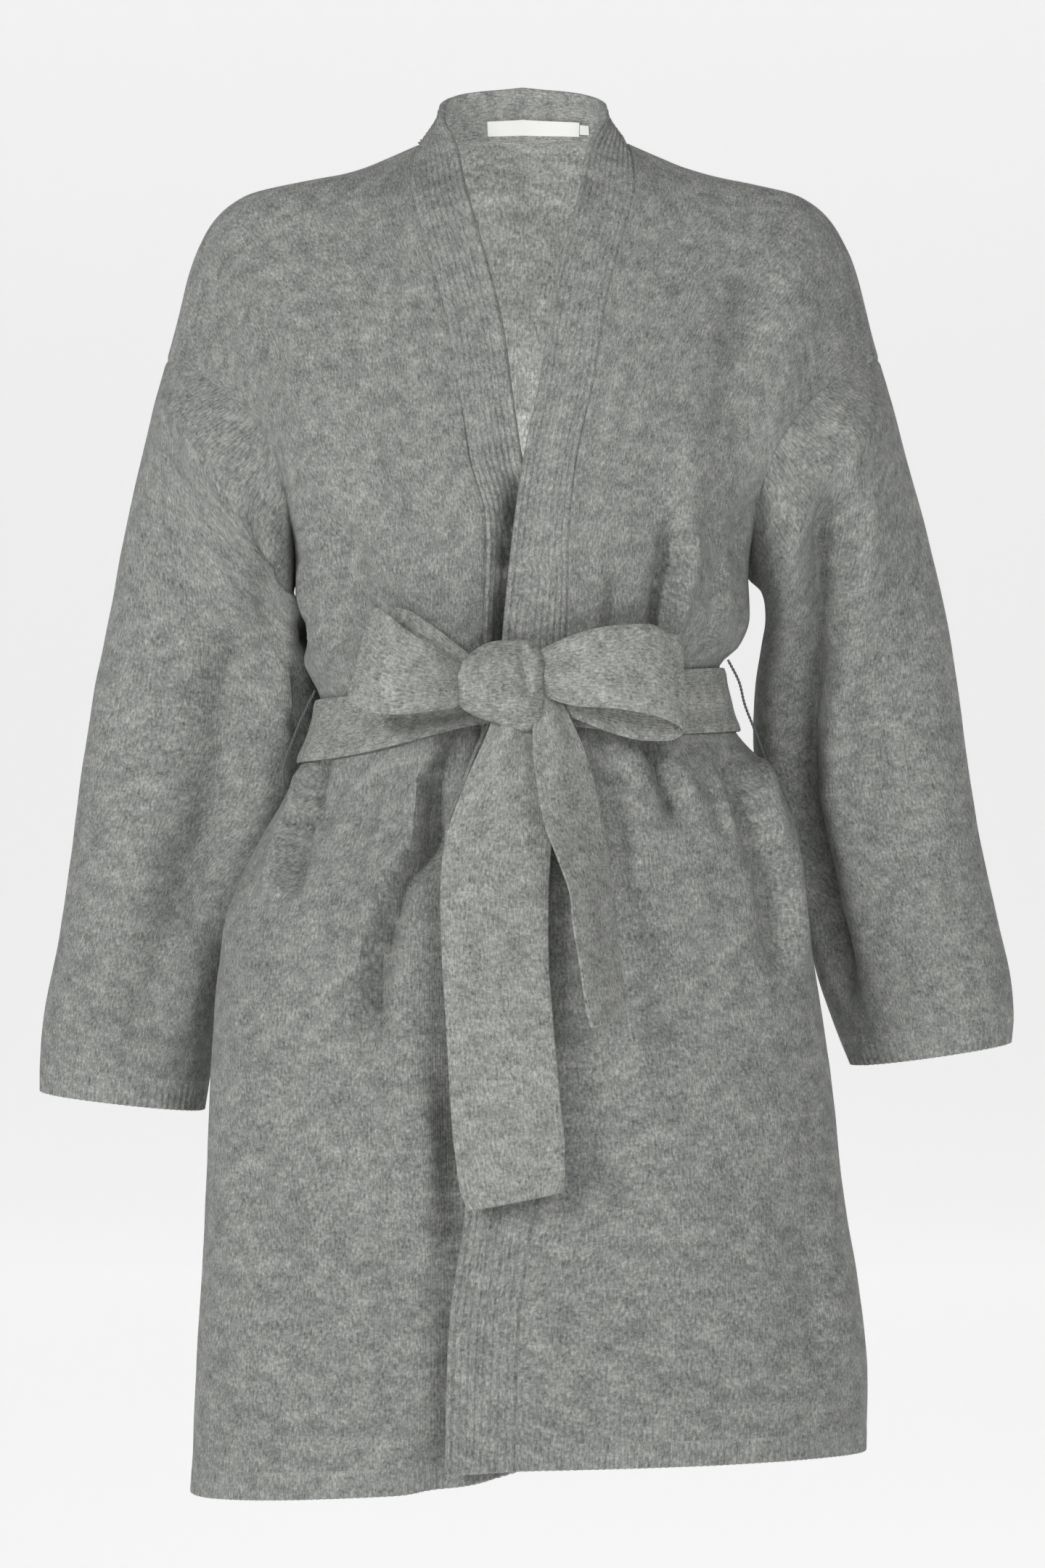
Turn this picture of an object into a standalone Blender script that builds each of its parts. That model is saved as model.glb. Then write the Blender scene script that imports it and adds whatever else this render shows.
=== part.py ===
"""Long belted cardigan in heather wool jersey, kept in its worn shape with nobody in it.

Sizes are in millimetres until an object is made: x runs to the viewer's right, y away
from the viewer and z up, with the origin between the two neck points of the shoulders.
Every piece is cloth with a real wall. A grid of points holds the outside of a piece,
with its columns from left to right and its rows going up as seen from outside.
"""
import math
from collections import namedtuple

import bmesh
import bpy
import numpy as np
from mathutils.kdtree import KDTree

MM = 0.001
WALL = 2.6
SEAM_GAP = 0.3

# Knit ribs of the hem, the cuffs and the front band
RIB_PITCH = 4.7
RIB_RISE = 0.7
HEM_RIB_HEIGHT = 17.0
RIB_FADE = 3.0
BAND_RIBS = 9

# The tie belt, and where the knot pinches the waist
BELT_CLEARANCE = 1.0
BELT_THICK = 3.0
KNOT_X = -15.0
PINCH_REACH = 75.0

# How far the top front's hem rises toward its free edge, and the under front's toward its own
TOP_HEM_LIFT = 18.0
UNDER_HEM_LIFT = 7.0
HEM_LIFT_REACH = 300.0

# The under front lies deeper where the top front covers it
OVERLAP_DEPTH = 8.0
OVERLAP_SLOPE = 32.0
OVERLAP_TOP_Z = -120.0
OVERLAP_FULL_Z = -200.0

# Columns across a front and the back's neckline, and rows of the yoke above the underarm
FRONT_COLUMNS = 12
NECK_COLUMNS = 6
YOKE_ROWS = 9
YOKE_BLEND = 0.45
YOKE_SQUARE = 2.2
BAND_COLUMNS = 3
OUTLINE_SAMPLES = 120

# Horizontal sections of the body: side seams, depths, squareness, the slope of the
# section to the right, and its rise toward the knot
BodyRow = namedtuple("BodyRow", "z left right side_y front_y back_y square tilt pinch")
BODY = (
    BodyRow(-900, -226.0, 234.0, -26, -153, 114, 2.2, 14, 0),
    BodyRow(-840, -223.0, 235.0, -26, -151, 114, 2.2, 10, 0),
    BodyRow(-780, -220.0, 230.0, -26, -148, 113, 2.2, 6, 0),
    BodyRow(-720, -217.0, 220.0, -26, -144, 112, 2.2, 4, 0),
    BodyRow(-660, -214.0, 213.0, -26, -139, 110, 2.2, 3, 0),
    BodyRow(-600, -212.0, 206.0, -25, -133, 107, 2.2, 3, 0),
    BodyRow(-550, -206.0, 198.0, -24, -127, 103, 2.2, 4, 0),
    BodyRow(-505, -195.0, 193.0, -22, -120, 98, 2.2, 6, 4),
    BodyRow(-465, -178.0, 185.0, -19, -111, 91, 2.2, 9, 8),
    BodyRow(-432, -161.0, 168.0, -15, -104, 83, 2.2, 11, 14),
    BodyRow(-408, -151.5, 146.5, -12, -99, 77, 2.3, 11, 18),
    BodyRow(-386, -142.0, 138.5, -10, -97, 74, 2.3, 11, 10),
    BodyRow(-364, -138.5, 135.0, -8, -97, 74, 2.3, 11, 0),
    BodyRow(-345, -148.0, 149.0, -6, -104, 80, 2.3, 8, 0),
    BodyRow(-320, -152.0, 156.0, -3, -111, 90, 2.4, 3, 0),
    BodyRow(-290, -155.0, 155.0, 5, -116, 97, 2.5, 0, 0),
)
BELT_BOTTOM_Z = -408
BELT_TOP_Z = -364

# Sections above the underarm: half width of the whole shoulder outline, and depths
YokeRow = namedtuple("YokeRow", "z half middle_y front back")
YOKE = (
    YokeRow(-290, 283.0, 5, 116, 97),
    YokeRow(-262, 277.0, 6, 116, 98),
    YokeRow(-222, 267.5, 7, 114, 99),
    YokeRow(-182, 257.0, 8, 110, 98),
    YokeRow(-142, 246.5, 10, 104, 95),
    YokeRow(-122, 241.0, 11, 99, 92),
    YokeRow(-102, 236.0, 12, 93, 89),
    YokeRow(-82, 231.0, 13, 86, 85),
    YokeRow(-62, 224.0, 14, 77, 80),
    YokeRow(-42, 212.5, 14, 67, 74),
    YokeRow(-30, 199.0, 15, 59, 70),
    YokeRow(-24, 186.5, 15, 54, 68),
    YokeRow(-18, 161.0, 15, 48, 65),
    YokeRow(-12, 131.0, 15, 42, 62),
    YokeRow(-6, 110.0, 15, 35, 59),
    YokeRow(0, 96.0, 16, 28, 56),
    YokeRow(6, 83.0, 16, 20, 53),
    YokeRow(12, 71.0, 16, 12, 50),
    YokeRow(20, 62.0, 16, 4, 46),
)
NECK_POINT_Z = 12.0
BACK_NECK_Z = 20.0
SHOULDER_TIP_Z = -140.0

# The armhole seam of a drop shoulder, from the underarm up toward the shoulder tip
ArmholePoint = namedtuple("ArmholePoint", "x z")
ARMHOLE = (
    ArmholePoint(155.0, -290.0),
    ArmholePoint(156.5, -262.0),
    ArmholePoint(162.0, -230.0),
    ArmholePoint(174.0, -200.0),
    ArmholePoint(194.0, -174.0),
    ArmholePoint(220.0, -153.0),
)

# Free edges of the two fronts, and the width of the band between edge and seam
EdgeRow = namedtuple("EdgeRow", "z x")
TOP_EDGE = (
    EdgeRow(-900, -51.0), EdgeRow(-793, -47.0), EdgeRow(-704, -37.0), EdgeRow(-561, -49.0),
    EdgeRow(-470, -52.0), EdgeRow(-434, -38.0), EdgeRow(-391, -17.0), EdgeRow(-328, -12.5),
    EdgeRow(-218, 0.5), EdgeRow(-162, 12.0), EdgeRow(-92, 23.0), EdgeRow(-37, 37.0), EdgeRow(12, 48.0),
)
UNDER_EDGE = (
    EdgeRow(-900, 28.0), EdgeRow(-700, 24.0), EdgeRow(-500, 16.0), EdgeRow(-391, 10.0),
    EdgeRow(-328, 10.0), EdgeRow(-250, 6.0), EdgeRow(-218, 0.5), EdgeRow(-185, -4.5),
    EdgeRow(-114, -15.5), EdgeRow(-37, -35.5), EdgeRow(12, -48.0),
)
BandRow = namedtuple("BandRow", "z width")
BAND_WIDTH = (
    BandRow(-900, 46.0), BandRow(-560, 45.0), BandRow(-400, 44.0), BandRow(-325, 42.0),
    BandRow(-250, 36.5), BandRow(-140, 36.0), BandRow(-60, 37.5), BandRow(-30, 37.5),
    BandRow(-12, 34.0), BandRow(0, 30.0), BandRow(12, 23.0),
)

# The free edge where the band stands up round the neck, against the run of its seam
# from the height STAND_START_Z to the centre of the back
StandRow = namedtuple("StandRow", "run x y z")
STAND_START_Z = -30.0
STAND = (
    StandRow(0.00, 40.0, -27.0, -18.0),
    StandRow(0.24, 46.0, -10.0, 8.0),
    StandRow(0.40, 55.0, 8.0, 29.0),
    StandRow(0.58, 54.0, 32.0, 43.0),
    StandRow(0.74, 42.0, 50.0, 50.0),
    StandRow(1.00, 0.0, 62.0, 56.0),
)
STAND_LIFT = 12.0
STAND_LIFT_START_Z = -150.0

# Rings of a sleeve below its armhole seam: outer and inner points, middle and half depth
SleeveRow = namedtuple("SleeveRow", "outer_x outer_z inner_x inner_z middle_y half_y")
SLEEVE_RIGHT = (
    SleeveRow(254.5, -172, 166.0, -301, 6, 80),
    SleeveRow(266.0, -212, 168.0, -318, 11, 73),
    SleeveRow(281.0, -262, 166.0, -336, 20, 67),
    SleeveRow(295.0, -321, 163.0, -362, 31, 62),
    SleeveRow(305.0, -378, 161.5, -402, 40, 58),
    SleeveRow(312.5, -425, 167.5, -444, 46, 56),
    SleeveRow(321.0, -473, 181.0, -491, 49, 54),
    SleeveRow(331.0, -521, 198.0, -536, 50, 51),
    SleeveRow(340.0, -564, 210.0, -577, 49, 47),
    SleeveRow(343.0, -591, 220.0, -606, 48, 43),
    SleeveRow(343.0, -594, 221.0, -609, 48, 43),
    SleeveRow(341.5, -612, 229.0, -628, 47, 42),
)
SLEEVE_LEFT = (
    SleeveRow(-252.5, -165, -165.0, -301, 7, 80),
    SleeveRow(-263.0, -205, -165.0, -316, 13, 73),
    SleeveRow(-275.0, -255, -158.0, -337, 24, 66),
    SleeveRow(-289.0, -320, -147.0, -364, 34, 60),
    SleeveRow(-301.0, -381, -145.0, -406, 43, 57),
    SleeveRow(-309.0, -430, -158.0, -452, 48, 55),
    SleeveRow(-316.0, -483, -181.0, -499, 50, 53),
    SleeveRow(-324.0, -537, -199.0, -551, 51, 50),
    SleeveRow(-334.0, -592, -212.0, -605, 50, 46),
    SleeveRow(-337.0, -624, -218.0, -637, 48, 43),
    SleeveRow(-337.0, -628, -219.0, -641, 48, 43),
    SleeveRow(-337.0, -646, -222.0, -659, 47, 42),
)
SLEEVE_SQUARE = 2.2
SLEEVE_EASE_RINGS = 4

# The largest folds: where each runs as seen from the front or the back, its half width,
# and its depth, which is negative for a ridge
Fold = namedtuple("Fold", "face width depth path")
FOLDS = (
    Fold("front", 13, 9, ((98, -276), (88, -330))),
    Fold("front", 15, -5, ((112, -187), (108, -286), (100, -330))),
    Fold("front", 20, 5, ((163, -82), (148, -145), (140, -201))),
    Fold("front", 16, 7, ((-50, -420), (-60, -456), (-79, -495), (-94, -542), (-103, -613))),
    Fold("front", 14, 7, ((-146, -428), (-160, -470), (-165, -512))),
    Fold("front", 12, 6, ((94, -420), (104, -446))),
    Fold("front", 14, 8, ((145, -425), (154, -442), (166, -490), (170, -530))),
    Fold("front", 20, 5, ((48, -588), (60, -699))),
    Fold("front", 24, 6, ((-191, -680), (-136, -801))),
    Fold("front", 18, 4, ((188, -709), (196, -823))),
    Fold("front", 18, 5, ((-66, -740), (-80, -862))),
    Fold("front", 18, 12, ((-172, -185), (-155, -220), (-142, -268), (-140, -300))),
    Fold("front", 14, 4, ((152, -240), (146, -282))),
    Fold("front", 16, 5, ((212, -214), (204, -308), (190, -416), (202, -497), (227, -590))),
    Fold("front", 14, 6, ((-188, -160), (-183, -203), (-178, -241), (-172, -317), (-167, -345))),
    Fold("front", 18, 5, ((-236, -460), (-246, -540), (-266, -610))),
    Fold("back", 18, 6, ((-70, -330), (-84, -250))),
    Fold("back", 20, 6, ((18, -334), (10, -230))),
    Fold("back", 16, 5, ((92, -332), (108, -262))),
    Fold("back", 20, 7, ((-96, -430), (-120, -560))),
    Fold("back", 22, 6, ((-24, -430), (-34, -640))),
    Fold("back", 18, 7, ((58, -430), (84, -600))),
    Fold("back", 24, 6, ((130, -640), (150, -800))),
)
FOLD_REACH = 3.0
FOLD_END = 0.2
FOLD_END_SHARE = 0.25
FOLD_FACE_Y = 20.0
FOLD_POINTS = 4

# The belt presses the folds flat this far past its edges and across the body
BELT_CALM = 14.0
BELT_CALM_MARGIN = 12.0
BELT_CALM_X = 160.0

# Pieces that turn as one where they meet another group, and how close two points count as one
GROUPS = {"sleeve_left": "sleeve", "sleeve_right": "sleeve", "band": "band"}
SAME_POINT = 0.02


def smooth(t):
    """Ease from 0 to 1."""
    t = min(max(t, 0.0), 1.0)
    return t * t * (3 - 2 * t)


def read_table(rows, at):
    """The table's row at a place along its first column, joined smoothly between rows."""
    data = np.array(rows, dtype=float)
    if data[0, 0] > data[-1, 0]:
        data = data[::-1]
    places = data[:, 0]
    at = min(max(at, places[0]), places[-1])
    low = min(int(np.searchsorted(places, at, side="right")) - 1, len(places) - 2)
    steps = np.diff(data, axis=0)
    slopes = steps / steps[:, :1]
    turning = slopes[1:] * slopes[:-1] <= 0
    inner = np.where(turning, 0.0, (slopes[1:] + slopes[:-1]) / 2)
    tangents = np.vstack([slopes[:1], inner, slopes[-1:]])
    span = steps[low, 0]
    t = (at - places[low]) / span
    value = (data[low] * (1 + 2 * t) * (1 - t) ** 2
             + tangents[low] * span * t * (1 - t) ** 2
             + data[low + 1] * t * t * (3 - 2 * t)
             - tangents[low + 1] * span * t * t * (1 - t))
    return type(rows[0])(*value)


def along_line(points, fractions):
    """Points at given fractions of the length of a line of points."""
    points = np.asarray(points, dtype=float)
    lengths = np.concatenate([[0.0], np.cumsum(np.linalg.norm(np.diff(points, axis=0), axis=1))])
    wanted = np.asarray(fractions) * lengths[-1]
    return np.stack([np.interp(wanted, lengths, points[:, k]) for k in range(points.shape[1])], axis=1)


def rounded_line(points, steps=8):
    """The points joined by a smooth curve through all of them."""
    points = [np.asarray(p, dtype=float) for p in points]
    padded = [2 * points[0] - points[1], *points, 2 * points[-1] - points[-2]]
    line = []
    for a, b, c, d in zip(padded, padded[1:], padded[2:], padded[3:]):
        for k in range(steps):
            t = k / steps
            line.append(0.5 * (2 * b + (c - a) * t + (2 * a - 5 * b + 4 * c - d) * t * t
                               + (3 * b - a - 3 * c + d) * t ** 3))
    line.append(points[-1])
    return np.array(line)


# The body's surface

def body_point(row, angle):
    """A point of a section: angle 0 at the right side seam, a quarter turn in front, then left, then back."""
    across = math.copysign(abs(math.cos(angle)) ** (2 / row.square), math.cos(angle))
    out = abs(math.sin(angle)) ** (2 / row.square)
    front = math.sin(angle) > 0
    x = (row.left + row.right) / 2 + (row.right - row.left) / 2 * across
    y = row.side_y + ((row.front_y if front else row.back_y) - row.side_y) * out
    rise = row.pinch * math.exp(-((x - KNOT_X) / PINCH_REACH) ** 2) if front else 0.0
    return np.array([x, y, row.z + row.tilt * across + rise])


def front_angle(row, x):
    """The angle at which a section's front passes a given x."""
    across = (2 * x - row.left - row.right) / (row.right - row.left)
    return math.acos(math.copysign(abs(across) ** (row.square / 2), across))


def yoke_y(x, z, front):
    """Depth of the surface above the underarm."""
    row = read_table(YOKE, z)
    reach = min(abs(x) / row.half, 1.0)
    out = (1 - reach ** YOKE_SQUARE) ** (1 / YOKE_SQUARE)
    return row.middle_y - row.front * out if front else row.middle_y + row.back * out


def edge_x(side, z):
    """The free edge of a front: side 1 is the top front on the viewer's right, -1 the under front."""
    return read_table(TOP_EDGE if side > 0 else UNDER_EDGE, z).x


def band_seam_x(side, z):
    """The seam between a front and the band."""
    return edge_x(side, z) + side * read_table(BAND_WIDTH, z).width


def body_heights():
    """Heights of the body's rows of points, from the hem up to the underarm."""
    hem = BODY[0].z
    ribs = [hem, hem + HEM_RIB_HEIGHT, hem + HEM_RIB_HEIGHT + RIB_FADE]
    return ribs + [row.z for row in BODY[1:]]


def yoke_fractions():
    """Fractions of the yoke's height of its rows, closer together toward the shoulder."""
    return [math.sin(math.pi / 2 * k / YOKE_ROWS) for k in range(1, YOKE_ROWS)] + [1.0]


def shoulder_line(side, count):
    """Points of the shoulder seam from the neck point out to the tip, in x and z."""
    heights = np.linspace(NECK_POINT_Z, SHOULDER_TIP_Z, OUTLINE_SAMPLES)
    outline = [(side * read_table(YOKE, z).half, z) for z in heights]
    return along_line(outline, np.linspace(0, 1, count + 1))


def armhole_line(side):
    """The armhole seam from the underarm up to the shoulder tip, in x and z."""
    tip = (side * read_table(YOKE, SHOULDER_TIP_Z).half, SHOULDER_TIP_Z)
    return rounded_line([*((side * p.x, p.z) for p in ARMHOLE), tip])


def hem_lift(side, fraction, z):
    """How far a front's hem rises above the plain section, from 0 at the side seam."""
    lift = TOP_HEM_LIFT if side > 0 else UNDER_HEM_LIFT
    fade = smooth(1 - (z - BODY[0].z) / HEM_LIFT_REACH)
    return lift * (1 - fraction) * fade


def yoke_row(low, top, inner, outer, v, front):
    """One row of points above the underarm, filled in between its four border lines.

    low holds the underarm's row in space, and top the shoulder's row, inner and outer the
    row's two end points as seen from the front.
    """
    last = len(low) - 1
    blend = smooth(v / YOKE_BLEND)
    row = []
    for k in range(last + 1):
        u = k / last
        x, z = ((1 - v) * low[k, [0, 2]] + v * top[k] + (1 - u) * inner + u * outer
                - (1 - u) * ((1 - v) * low[0, [0, 2]] + v * top[0])
                - u * ((1 - v) * low[last, [0, 2]] + v * top[last]))
        on_ridge = v == 1.0 and z <= NECK_POINT_Z + 0.01
        y = read_table(YOKE, z).middle_y if on_ridge else yoke_y(x, z, front)
        row.append((x, (1 - blend) * low[k, 1] + blend * y, z))
    return np.array(row)


def front_rows(side):
    """Rows of points of one front from the band seam to the side seam and the armhole."""
    fractions = np.linspace(0, 1, FRONT_COLUMNS + 1)
    rows = []
    for z in body_heights():
        section = read_table(BODY, z)
        start = front_angle(section, band_seam_x(side, z))
        end = 0.0 if side > 0 else math.pi
        row = [body_point(section, start + (end - start) * f) for f in fractions]
        for point, f in zip(row, fractions):
            point[2] += hem_lift(side, f, z)
        rows.append(np.array(row))
    low = rows[-1]
    seam_low_z = BODY[-1].z
    top = shoulder_line(side, FRONT_COLUMNS)
    armhole = armhole_line(side)
    for v in yoke_fractions():
        seam_z = seam_low_z + (NECK_POINT_Z - seam_low_z) * v
        inner = np.array([band_seam_x(side, seam_z), seam_z])
        outer = along_line(armhole, [v])[0]
        rows.append(yoke_row(low, top, inner, outer, v, True))
    return np.array(rows)


def back_rows(right_front, left_front):
    """Rows of points of the back, from the right side seam round to the left one."""
    count = 2 * FRONT_COLUMNS + NECK_COLUMNS
    fractions = np.linspace(0, 1, count + 1)
    rows = []
    for z in body_heights():
        section = read_table(BODY, z)
        rows.append(np.array([body_point(section, 2 * math.pi - math.pi * f) for f in fractions]))
    low = rows[-1]
    shoulder_right = shoulder_line(1, FRONT_COLUMNS)[::-1]
    shoulder_left = shoulder_line(-1, FRONT_COLUMNS)
    turns = np.linspace(0, math.pi, NECK_COLUMNS + 1)[1:-1]
    neck_x = shoulder_right[-1, 0]
    neck = [(neck_x * math.cos(a), NECK_POINT_Z + (BACK_NECK_Z - NECK_POINT_Z) * math.sin(a)) for a in turns]
    top = np.vstack([shoulder_right, neck, shoulder_left])
    first_yoke = len(rows)
    for r, v in enumerate(yoke_fractions()):
        inner = right_front[first_yoke + r, -1, [0, 2]]
        outer = left_front[first_yoke + r, 0, [0, 2]]
        rows.append(yoke_row(low, top, inner, outer, v, False))
    return np.array(rows)


def band_edge_low(side, section_z):
    """The angles, from the seam to the free edge, of the band on one body section."""
    section = read_table(BODY, section_z)
    seam = front_angle(section, band_seam_x(side, section_z))
    edge = front_angle(section, edge_x(side, section_z))
    return section, seam, edge


def band_half(side, front, neck_half):
    """Rows of the band from the hem to the centre of the back, each from free edge to seam.

    front holds the front's rows with their seam points, and neck_half the neckline's
    points from the neck point to the centre of the back.
    """
    rows = []
    heights = body_heights()
    steps = np.linspace(1, 0, BAND_COLUMNS + 1)
    for z, seam in zip(heights, front):
        section, seam_angle, edge_angle = band_edge_low(side, z)
        row = []
        for t in steps:
            point = body_point(section, seam_angle + (edge_angle - seam_angle) * t)
            point[2] += hem_lift(side, 0.0, z)
            row.append(point)
        rows.append(row)
    seams = np.vstack([front[len(heights):], neck_half])
    start = int(np.argmax(seams[:, 2] > STAND_START_Z))
    stand = seams[start:]
    lengths = np.concatenate([[0.0], np.cumsum(np.linalg.norm(np.diff(stand, axis=0), axis=1))])
    for k, seam in enumerate(seams):
        lying = seam[2] < STAND_START_Z and k < start
        if lying:
            lift = STAND_LIFT * smooth((seam[2] - STAND_LIFT_START_Z) / (STAND_START_Z - STAND_LIFT_START_Z))
            z = seam[2] + lift
            edge = np.array([edge_x(side, z), 0.0, z])
            blend = smooth((seam[2] - BODY[-1].z) / ((NECK_POINT_Z - BODY[-1].z) * YOKE_BLEND))
            low_y = front[len(heights) - 1][1]
            edge[1] = (1 - blend) * low_y + blend * yoke_y(edge[0], z, True)
        else:
            place = read_table(STAND, lengths[k - start] / lengths[-1])
            edge = np.array([side * place.x, place.y, place.z])
        row = []
        for t in steps:
            point = seam + (edge - seam) * t
            if lying:
                on_body = (1 - blend) * (seam[1] + (edge[1] - seam[1]) * t) + blend * yoke_y(point[0], point[2], True)
                point = np.array([point[0], on_body, point[2]])
                if t == 0:
                    point = seam.copy()
            row.append(point)
        rows.append(row)
    return np.array(rows)


def sink_under(points):
    """Moves points of the under front back where the top front covers them."""
    moved = points.copy()
    for point in moved.reshape(-1, 3):
        covered = smooth((point[0] - edge_x(1, point[2]) + OVERLAP_SLOPE) / OVERLAP_SLOPE)
        low = smooth((OVERLAP_TOP_Z - point[2]) / (OVERLAP_TOP_Z - OVERLAP_FULL_Z))
        point[1] += OVERLAP_DEPTH * covered * low
    return moved


def sleeve_rows(side, front_seam, back_seam, table):
    """Rings of a sleeve from the armhole seam down to the cuff, each from the outer point
    round the front to the inner point and round the back."""
    half = len(front_seam) - 1
    top = np.vstack([front_seam[::-1], back_seam[1:-1]])
    drawn = 1 - np.array([0.0, *yoke_fractions()])[::-1]
    even = np.linspace(0, 1, half + 1)
    rings = [top]
    for number, row in enumerate(table, start=1):
        shares = drawn + (even - drawn) * smooth(number / SLEEVE_EASE_RINGS)
        outer = np.array([row.outer_x, row.middle_y, row.outer_z])
        inner = np.array([row.inner_x, row.middle_y, row.inner_z])
        ring = []
        for face, angles in ((-1, math.pi * shares), (1, math.pi * shares[::-1][1:-1])):
            for angle in angles:
                across = math.copysign(abs(math.cos(angle)) ** (2 / SLEEVE_SQUARE), math.cos(angle))
                out = abs(math.sin(angle)) ** (2 / SLEEVE_SQUARE)
                point = (outer + inner) / 2 + (outer - inner) / 2 * across
                point[1] += face * row.half_y * out
                ring.append(point)
        rings.append(np.array(ring))
    return np.array(rings)


# Folds and normals

def distance_to_line(point, line):
    """Distance from a point to a line of points, and how far along the line it falls."""
    best = (math.inf, 0.0)
    lengths = np.linalg.norm(np.diff(line, axis=0), axis=1)
    done = 0.0
    for a, b, length in zip(line, line[1:], lengths):
        t = min(max(np.dot(point - a, b - a) / (length * length), 0.0), 1.0)
        gap = np.linalg.norm(point - (a + (b - a) * t))
        best = min(best, (gap, (done + t * length) / lengths.sum()))
        done += length
    return best


def surface_under(face, x, z, skins):
    """The grid point nearest to a place on the front or the back, as seen from there."""
    points = np.vstack([skin.reshape(-1, 3) for skin in skins])
    points = points[points[:, 1] < FOLD_FACE_Y if face == "front" else points[:, 1] > FOLD_FACE_Y]
    miss = (points[:, 0] - x) ** 2 + (points[:, 2] - z) ** 2
    near = np.argsort(miss)[:FOLD_POINTS]
    weights = 1 / (miss[near] + 1.0)
    depth = np.dot(points[near, 1], weights) / weights.sum()
    return np.array([x, depth, z])


def fold_lines(skins):
    """Every fold's line laid on the garment's surface."""
    return [(fold, np.array([surface_under(fold.face, x, z, skins) for x, z in fold.path])) for fold in FOLDS]


def fold_depth(point, lines):
    """How far the folds push the cloth in at a point; the belt presses it flat."""
    depth = 0.0
    for fold, line in lines:
        gap, along = distance_to_line(point, line)
        if gap < FOLD_REACH * fold.width:
            ends = smooth(min(along, 1 - along) / FOLD_END + FOLD_END_SHARE)
            depth += fold.depth * math.exp(-(gap / fold.width) ** 2) * ends
    above = (point[2] - BELT_TOP_Z - BELT_CALM_MARGIN) / BELT_CALM
    below = (BELT_BOTTOM_Z - BELT_CALM_MARGIN - point[2]) / BELT_CALM
    calm = smooth(max(above, below)) if abs(point[0]) < BELT_CALM_X else 1.0
    return depth * calm


def grid_normals(grid, closed):
    """Unit normals of a grid's faces, column after column."""
    if closed:
        grid = np.concatenate([grid, grid[:, :1]], axis=1)
    normals = np.cross(grid[:-1, 1:] - grid[1:, :-1], grid[1:, 1:] - grid[:-1, :-1])
    return normals / np.linalg.norm(normals, axis=2, keepdims=True)


def shared_normals(skins, closed_names):
    """Normals of every grid's points, the same on both sides of a seam.

    The sleeves, the band and the body count once each where they meet, however many of
    their faces do, so that the cloth turns evenly under an arm.
    """
    points = []
    facing = []
    group = []
    for name, grid in skins.items():
        faces = grid_normals(grid, name in closed_names)
        sums = np.zeros_like(grid)
        columns = grid.shape[1]
        for c in range(faces.shape[1]):
            for near in (c, (c + 1) % columns):
                sums[:-1, near] += faces[:, c]
                sums[1:, near] += faces[:, c]
        points.append(grid.reshape(-1, 3))
        facing.append(sums.reshape(-1, 3))
        group += [GROUPS.get(name, "body")] * (grid.shape[0] * grid.shape[1])
    points = np.vstack(points)
    facing = np.vstack(facing)
    tree = KDTree(len(points))
    for k, point in enumerate(points):
        tree.insert(point, k)
    tree.balance()
    shared = np.zeros_like(points)
    for k, point in enumerate(points):
        sums = {}
        for _, other, _ in tree.find_range(point, SAME_POINT):
            sums[group[other]] = sums.get(group[other], 0.0) + facing[other]
        total = sum(value / np.linalg.norm(value) for value in sums.values())
        shared[k] = total / np.linalg.norm(total)
    normals = {}
    done = 0
    for name, grid in skins.items():
        count = grid.shape[0] * grid.shape[1]
        normals[name] = shared[done:done + count].reshape(grid.shape)
        done += count
    return normals


def pull_from_seams(grid, sides):
    """Moves the border points on the named sides in by half a seam gap."""
    moved = grid.copy()

    def pull(border, neighbour, target):
        along = np.gradient(border, axis=0)
        along /= np.linalg.norm(along, axis=1, keepdims=True) + 1e-9
        inward = neighbour - border
        inward -= along * np.sum(inward * along, axis=1, keepdims=True)
        inward /= np.linalg.norm(inward, axis=1, keepdims=True)
        target += inward * (SEAM_GAP / 2)

    if "left" in sides:
        pull(grid[:, 0], grid[:, 1], moved[:, 0])
    if "right" in sides:
        pull(grid[:, -1], grid[:, -2], moved[:, -1])
    if "top" in sides:
        pull(grid[-1], grid[-2], moved[-1])
    if "bottom" in sides:
        pull(grid[0], grid[1], moved[0])
    return moved


# Walls of cloth

# Quads on a wall's edge are cut along the diagonal that this slope picks, alike on both sides of a seam
EDGE_SPLIT_SLOPE = 0.3


def finer(row, normals, parts, closed):
    """A row of points with each step cut into equal parts along a smooth curve."""
    if closed:
        points = np.vstack([row[-1:], row, row[:2]])
        turned = np.vstack([normals[-1:], normals, normals[:2]])
    else:
        points = np.vstack([2 * row[:1] - row[1:2], row, 2 * row[-1:] - row[-2:-1]])
        turned = np.vstack([normals[:1], normals, normals[-1:]])
    line = []
    facing = []
    for k in range(len(points) - 3):
        a, b, c, d = points[k:k + 4]
        for step in range(parts):
            t = step / parts
            line.append(0.5 * (2 * b + (c - a) * t + (2 * a - 5 * b + 4 * c - d) * t * t
                               + (3 * b - a - 3 * c + d) * t ** 3))
            facing.append(turned[k + 1] * (1 - t) + turned[k + 2] * t)
    if not closed:
        line.append(row[-1])
        facing.append(normals[-1])
    facing = np.array(facing)
    return np.array(line), facing / np.linalg.norm(facing, axis=1, keepdims=True)


def ribbed(row, normals, parts, closed):
    """A finer row whose every second point is raised, so that it runs over the ribs."""
    line, facing = finer(row, normals, parts, closed)
    raised = (np.arange(len(line)) % 2)[:, None]
    return line + facing * raised * RIB_RISE


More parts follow.
